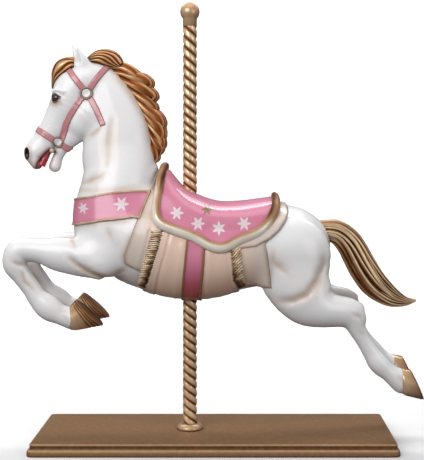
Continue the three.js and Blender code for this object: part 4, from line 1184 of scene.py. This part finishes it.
# %% Mane
CREST = [
    (-262, 1288, 18, 24, 0), (-225, 1279, 27, 32, 0), (-188, 1243, 33, 36, 0), (-160, 1204, 31, 38, 0),
    (-143, 1166, 25, 38, 0), (-123, 1118, 27, 36, 0), (-109, 1065, 26, 34, 0), (-107, 1015, 20, 28, 0),
    (-117, 968, 6, 10, 0),
]
MANE_LOCKS = [
    (19, [(-284, 1290), (-250, 1292), (-218, 1284), (-190, 1266), (-176, 1246), (-188, 1230)]),
    (20, [(-268, 1272), (-234, 1270), (-198, 1260), (-160, 1250), (-138, 1232), (-150, 1214)]),
    (20, [(-250, 1250), (-218, 1242), (-182, 1228), (-146, 1210), (-122, 1190), (-134, 1170)]),
    (18, [(-226, 1220), (-198, 1206), (-168, 1186), (-138, 1166), (-122, 1146), (-134, 1130)]),
    (20, [(-200, 1186), (-174, 1168), (-146, 1144), (-112, 1120), (-96, 1092), (-110, 1074)]),
    (18, [(-176, 1148), (-154, 1130), (-128, 1106), (-102, 1080), (-94, 1052), (-106, 1038)]),
    (16, [(-160, 1110), (-142, 1092), (-120, 1068), (-100, 1042), (-96, 1018), (-108, 1006)]),
    (14, [(-148, 1072), (-134, 1054), (-116, 1030), (-100, 1008), (-104, 988)]),
    (12, [(-142, 1034), (-130, 1014), (-118, 992), (-114, 974), (-120, 962)]),
]
SHAPE = (0.9, 1.0, 1.05, 1.0, 0.80, 0.35)  # how a lock swells and tapers along its length
ROOT_DEPTH = 5  # how far below its own thickness a lock's root is sunk into the neck
FAR_SHIFT = (3, 2)  # the far locks stand off the near ones, x and z


def mane_lock(n, side, width, line):
    """One curling lock, laid on the neck's side and over the crest."""
    sections = []
    for share, (x, z) in zip(np.linspace(0, 1, len(line)), line):
        size = np.interp(share, np.linspace(0, 1, len(SHAPE)), SHAPE)
        neck = max(half_width(mane_block, mane_field, x, z), 16 - 8 * share)
        y = neck + 1 - (width + ROOT_DEPTH) * (1 - share) ** 3
        sections.append((x, z, width * size, (width - 1) * size, side * y))
    if side > 0:
        sections = moved(sections, FAR_SHIFT)
    return hair(f"lock_{n}_{side}", sections, hair_gold, sides=50, steps=7, strands=5, depth=3.8,
                twist=1.2 + 0.5 * (n % 3), tone=0.62)


mane_block = Block((-420, -120, 940), (-60, 120, 1340), 4.0)
mane_field = body_field(mane_block)
crest = hair("crest", [(x, z, r * 0.8, t * 0.45, y) for x, z, r, t, y in CREST], hair_gold, 64, 8, 9, 3)
mane = joined("mane", [crest] + [mane_lock(n, side, *lock) for n, lock in enumerate(MANE_LOCKS)
                                 for side in (-1, 1)])

# %% [markdown]
# The hooves are gilt and end in a flat sole. The front ones show three lines cut round them near the sole,
# the hind ones one. A hoof is lofted from the coronet to the sole, a little longer at the toe than the heel.

# %% Hooves
HOOVES = {
    "fore": (((-406, 473), (-382, 392)), ((-384, 497), (-290, 409)), 68, (33, 44), (0.58, 0.76, 0.90)),
    "hind": (((717, 270), (731, 177)), ((748, 265), (792, 163)), 94, (36, 45), (0.93,)),
}


HOOF_SIDES = 48
LINE_WIDTH, LINE_DEPTH = 0.022, 0.07  # shares of the hoof's height and of its width


def hoof(name, coronet, sole, y, across, lines, side, shift):
    """A loft from just above the coronet, inside the leg, to the sole."""
    angle = circle(HOOF_SIDES)
    rings, grooves = [], []
    for t in [-0.18, 0.0, *np.linspace(0.04, 0.96, 47), 1.0]:
        cut = max(glow(t - spot, LINE_WIDTH) for spot in lines)
        inset = 0.9 if t < 0 else (0.955 if t == 1.0 else 1.0 - LINE_DEPTH * cut)
        heel, toe = (np.array(top) + (np.array(bottom) - top) * t + shift
                     for top, bottom in zip(coronet, sole))
        half = across[0] + (across[1] - across[0]) * t
        share = 0.5 + 0.5 * inset * np.cos(angle)
        wide = half * inset * np.sin(angle) * (1.06 - 0.14 * np.cos(angle))
        spot = toe + np.outer(share, heel - toe)
        rings.append(np.stack([spot[:, 0], side * y + wide, spot[:, 1]], 1))
        grooves.append(np.full(HOOF_SIDES, 0.02 + 0.28 * max(t, 0) + 0.75 * cut))
    return loft(name, rings, grooves, hoof_gold)


hooves = joined("hooves", [
    hoof(f"{name}_{side}", *HOOVES[name], side, shift if side > 0 else (0, 0))
    for name, shift in (("fore", FAR_FORE), ("hind", FAR_HIND)) for side in (-1, 1)
])

# %% [markdown]
# The eyeballs are dark glossy balls set behind the lids that were carved into the head. The tongue is a short
# red loft in the open mouth, and the bit is a gold bar right across it.

# %% Eyes, tongue and bit
def ball(name, centre, radius, material, stretch=(1, 1, 1)):
    rings, sides = [], 32
    for polar in np.linspace(0.02, math.pi - 0.02, 20):
        angle = circle(sides)
        ring = np.stack([np.sin(polar) * np.cos(angle), np.sin(polar) * np.sin(angle),
                         np.full(sides, np.cos(polar))], 1)
        rings.append(np.array(centre) + ring * radius * np.array(stretch))
    return loft(name, rings, [np.zeros(sides)] * len(rings), material)


def plain_paint(name, code, roughness, coat):
    material, tree, shader = paint(name, roughness, coat)
    deeper = mix(tree, soft_grain(tree, 90.0), colour(code), colour(code), "MULTIPLY")
    tree.links.new(mix(tree, 0.25, colour(code), deeper), shader.inputs["Base Color"])
    return material


eye_brown = plain_paint("eye brown", "4a211c", 0.16, 0.5)
mouth_red = plain_paint("mouth red", "b83e48", 0.25, 0.6)
eyes = joined("eyes", [ball(f"eye_{side}", (EYE["x"], side * EYE["y"], EYE["z"]), EYE["radius"], eye_brown)
                       for side in (-1, 1)])
TONGUE = [(-496, 990, 11, 16, 0), (-515, 952, 13, 17, 0)]
tongue = hair("tongue", TONGUE, mouth_red, sides=32, steps=8)
BIT = {"x": -472, "z": 1003, "radius": 7, "reach": 42}
angle, ends = circle(20), np.linspace(-BIT["reach"], BIT["reach"], 12)
bit_rings = [np.stack([BIT["x"] + BIT["radius"] * np.cos(angle), np.full(20, y),
                       BIT["z"] + BIT["radius"] * np.sin(angle)], 1) for y in ends]
bit = loft("bit", bit_rings, [np.full(20, 0.2)] * len(ends), trim_gold)

# %% [markdown]
# The pole is a steel tube wrapped in three fat strands. It is a main piece whose shape follows a rule, so
# Geometry Nodes make it: a straight line is cut into many steps, tilted a little more at each step, and
# swept with a three-lobed outline. Tilting the line and not the outline keeps the twist even.

# %% The twisted pole
def box_of(solid):
    """A solid's lowest and highest corners, in millimetres."""
    return [np.array(corner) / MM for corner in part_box(solid)]


low, high = box_of("pole")
POLE_RADIUS = (high[0] - low[0]) / 2
GROOVE_DEPTH = 5.0
TWIST_HAND = -1  # -1 turns the strands one way round, 1 the other

pole_tree, given, result = new_tree("twisted strands", {
    "Radius": ("Float", 0.0245), "Groove Depth": ("Float", 0.005), "Strands": ("Float", 3.0),
    "Low Spacing": ("Float", 0.0295), "High Spacing": ("Float", 0.036), "Change At": ("Float", 1.0),
    "Top": ("Float", 1.434), "Steps": ("Int", 460), "Sides": ("Int", 60)})
calc = partial(maths, pole_tree)
curve = node(pole_tree, "GeometryNodeMeshToCurve", {0: given["Geometry"]})
steps = node(pole_tree, "GeometryNodeResampleCurve", {"Curve": curve.outputs[0], "Count": given["Steps"]},
             mode="COUNT")
place = node(pole_tree, "GeometryNodeInputPosition").outputs[0]
spread = parts_of(pole_tree, place)
# The strands' spacing is even up to one height and grows steadily above it, so the turns up to a height z
# are z / spacing in the lower part and a logarithm in the upper part.
gain = calc("DIVIDE", calc("SUBTRACT", given["High Spacing"], given["Low Spacing"]),
            calc("SUBTRACT", given["Top"], given["Change At"]))
above = calc("MAXIMUM", calc("SUBTRACT", spread["Z"], given["Change At"]), 0.0)
lower = calc("DIVIDE", calc("MINIMUM", spread["Z"], given["Change At"]), given["Low Spacing"])
growth = calc("DIVIDE", calc("MULTIPLY", gain, above), given["Low Spacing"])
upper = calc("DIVIDE", calc("LOGARITHM", calc("ADD", growth, 1.0), math.e), gain)
turns = calc("DIVIDE", calc("ADD", lower, upper), given["Strands"])
tilted = node(pole_tree, "GeometryNodeSetCurveTilt", {
    "Curve": steps.outputs[0], "Tilt": calc("MULTIPLY", turns, TWIST_HAND * 2 * math.pi)})
ring = node(pole_tree, "GeometryNodeCurvePrimitiveCircle", {"Resolution": given["Sides"], "Radius": 1.0})
around = calc("ARCTAN2", spread["Y"], spread["X"])
wave = calc("ABSOLUTE", calc("SINE", calc("MULTIPLY", around, calc("DIVIDE", given["Strands"], 2.0))))
hollow = calc("POWER", calc("SUBTRACT", 1.0, wave), 1.6)
reach = calc("SUBTRACT", given["Radius"], calc("MULTIPLY", hollow, given["Groove Depth"]))
lobes = node(pole_tree, "ShaderNodeVectorMath", {0: place, "Scale": reach}, operation="SCALE")
ring = node(pole_tree, "GeometryNodeSetPosition", {"Geometry": ring.outputs[0], "Position": lobes.outputs[0]})
swept = node(pole_tree, "GeometryNodeCurveToMesh", {
    "Curve": tilted.outputs[0], "Profile Curve": ring.outputs[0], "Fill Caps": True})
finish_tree(pole_tree, given, result, swept.outputs[0])
pole = grown("twisted_pole", [(0, 0, low[2]), (0, 0, high[2])], pole_tree, {
    "Radius": POLE_RADIUS * MM, "Groove Depth": GROOVE_DEPTH * MM, "Top": high[2] * MM,
    "Material": pole_gold})
x, y, _ = corners_of(pole).T
attribute(pole, "groove", np.clip((POLE_RADIUS - np.hypot(x, y)) / GROOVE_DEPTH, 0, 1))

# %% [markdown]
# The ball, the foot collar and the base plate are turned or moulded profiles, so a short list of radii or
# insets describes each of them. The plate's moulding has painted highlights on its edges and painted shade in
# its hollow.

# %% Ball, foot collar and base
def turned(name, profile, material, sides=64):
    angle = circle(sides)
    rings = [np.stack([r * np.cos(angle), r * np.sin(angle), np.full(sides, z)], 1) for r, z in profile]
    return loft(name, rings, [np.full(sides, 0.2)] * len(profile), material)


low, high = box_of("ball_finial")
BALL_RADIUS, NECK_RADIUS = 34.0, 24.5
join = math.asin(NECK_RADIUS / BALL_RADIUS)
profile = [(NECK_RADIUS - 2, low[2]), (NECK_RADIUS, low[2] + 1.5)]
profile += [(BALL_RADIUS * math.sin(a), high[2] + BALL_RADIUS * (math.cos(a) - 1))
            for a in np.linspace(math.pi - join, 0.02, 28)]
finial = turned("ball_finial_gilt", profile, pole_gold)

low, high = box_of("foot_collar")
dome = [(40.0, 0), (44.0, 1), (45.0, 4), (44.5, 8), (42.0, 12), (38.0, 15.5), (33.0, high[2] - low[2]),
        (25.5, high[2] - low[2]), (25.2, 1)]
collar_foot = turned("foot_collar_gilt", [(r, low[2] + z) for r, z in dome], pole_gold)
keep_edges(collar_foot)

low, high = box_of("base")
HALF_LENGTH, HALF_DEPTH = (high[0] - low[0]) / 2, (high[1] - low[1]) / 2
CENTRE_X = (high[0] + low[0]) / 2
CORNER = 22.0
MOULDING = [  # inset and height
    (4, 0), (1, 1), (0, 3), (0, 8), (0, 14), (1, 17), (3, 19), (6, 20), (8, 21), (10, 23), (11, 26), (11, 29),
    (9.5, 32), (9, 33.5), (9, 36), (9.6, 38), (11, 39.3), (13.5, 40),
]


def moulding_highlight_and_shade(z):
    """Painted highlights, bright on the two edges of the moulding, and painted shade, dark in its hollow."""
    if 19 <= z <= 21 or 38 <= z < 40:
        return 0.0
    return 0.7 if 22 < z < 34 else 0.36


def rounded_outline(inset, z):
    centre = (HALF_LENGTH - CORNER, HALF_DEPTH - CORNER)
    radius = CORNER - inset
    ring = []
    for quarter, (sx, sy) in enumerate(((1, 1), (-1, 1), (-1, -1), (1, -1))):
        for angle in np.linspace(0, math.pi / 2, 9) + quarter * math.pi / 2:
            ring.append((CENTRE_X + sx * centre[0] + radius * math.cos(angle),
                         sy * centre[1] + radius * math.sin(angle), z))
    return np.array(ring)


# Painted highlights and painted shade along the moulding, which the gilding reads as its groove value.
plate = loft("base_plate", [rounded_outline(*step) for step in MOULDING],
             [np.full(36, moulding_highlight_and_shade(z)) for _, z in MOULDING], base_gold)
keep_edges(plate, 30)

# %% [markdown]
# The last pieces of the scene are the stage, the lights and the camera. The stage is a pale floor that
# bends up behind the object. It looks nearly white to the eye and sends back less light than that, so the
# edges of the glaze keep their grey. Seen from behind it is clear. Broad lamps give soft light with one
# clear highlight along the coat.

# %% Stage, light and camera
def stage_paint():
    material, tree, shader = paint("pale floor", 0.8, 0.0, **{"Specular IOR Level": 0.1})
    seen = node(tree, "ShaderNodeLightPath").outputs["Is Camera Ray"]
    pale = mix(tree, soft_grain(tree, 3.0), colour("f6f6f6"), colour("f1f1f1"))
    tree.links.new(mix(tree, seen, colour("58585a"), pale), shader.inputs["Base Color"])
    behind = node(tree, "ShaderNodeNewGeometry").outputs["Backfacing"]
    clear = node(tree, "ShaderNodeBsdfTransparent")
    both = node(tree, "ShaderNodeMixShader", {0: behind, 1: shader.outputs[0], 2: clear.outputs[0]})
    tree.links.new(both.outputs[0], tree.nodes["Material Output"].inputs["Surface"])
    return material


sweep = [(-9.0, 0.0), (1.6, 0.0), (2.2, 0.09), (2.7, 0.4), (2.9, 0.9), (2.95, 6.0)]
points = [(x, y, z) for y, z in sweep for x in (-8.0, 8.0)]
faces = [(2 * n, 2 * n + 1, 2 * n + 3, 2 * n + 2) for n in range(len(sweep) - 1)]
floor = new_object("floor", points, faces, stage_paint())


def lamp(name, place, target, size, power):
    data = bpy.data.lights.new(name, "AREA")
    data.shape = "RECTANGLE"
    data.size, data.size_y = size
    data.energy = power
    made = bpy.data.objects.new(name, data)
    made.location = place
    made.rotation_euler = (Vector(target) - Vector(place)).to_track_quat("-Z", "Y").to_euler()
    bpy.context.scene.collection.objects.link(made)


lamp("key", (-1.7, -2.9, 2.3), (0.0, 0.0, 0.75), (2.6, 2.0), 76)
lamp("fill", (2.6, -2.8, 1.3), (0.2, 0.0, 0.6), (1.6, 1.8), 20)
lamp("top", (0.1, -0.5, 3.2), (0.1, 0.0, 0.0), (2.0, 1.4), 12)
lamp("backdrop", (0.0, 1.4, 3.6), (0.0, 2.9, 0.9), (5.0, 0.8), 110)
lamp("floor_glow", (0.0, 1.3, 2.6), (0.0, 1.5, 0.0), (6.0, 0.6), 30)

scene = bpy.context.scene
scene.view_settings.view_transform = "Standard"
scene.world = bpy.data.worlds.new("studio")
scene.world.use_nodes = True
sky = scene.world.node_tree.nodes["Background"].inputs
sky["Color"].default_value = colour("f1f2f6")
sky["Strength"].default_value = 0.42

camera_data = bpy.data.cameras.new("camera")
camera_data.lens = 73.96
camera_data.sensor_width = 36.0
camera_data.shift_x, camera_data.shift_y = -0.0522, -0.1435
camera = bpy.data.objects.new("camera", camera_data)
camera.location = (0.160, -3.280, 0.957)
camera.rotation_euler = (math.pi / 2, 0, 0)
scene.collection.objects.link(camera)
scene.camera = camera

# %% [markdown]
# Every piece of the casting rides on the one body and stands for the casting's solid.

# %% Riding, slots and the end
PIECES = [  # slot, the solid it is a finish of, pieces
    ("white_glaze", "horse", [coat, head, bridle_studs]),
    ("saddle_pink", "horse", [seat, collar, girth, bridle]),
    ("blanket_beige", "horse", [blanket, under_pad]),
    ("hair_gold", "horse", [mane, tail, forelock, tuft]),
    ("trim_gold", "horse", [roll, girth_rim, collar_rim, bridle_rings, bit, hooves] + cords),
    ("eye_dark", "horse", [eyes]),
    ("mouth_red", "horse", [tongue]),
    ("old_gold", "pole", [pole]),
    ("old_gold", "ball_finial", [finial]),
    ("old_gold", "foot_collar", [collar_foot]),
    ("base_gold", "base", [plate]),
]
for slot, solid, pieces in PIECES:
    for piece in pieces:
        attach(piece, "root")
        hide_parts(solid)

print("Triangles:", sum(len(face.vertices) - 2 for _, _, pieces in PIECES for piece in pieces
                        for face in piece.data.polygons))
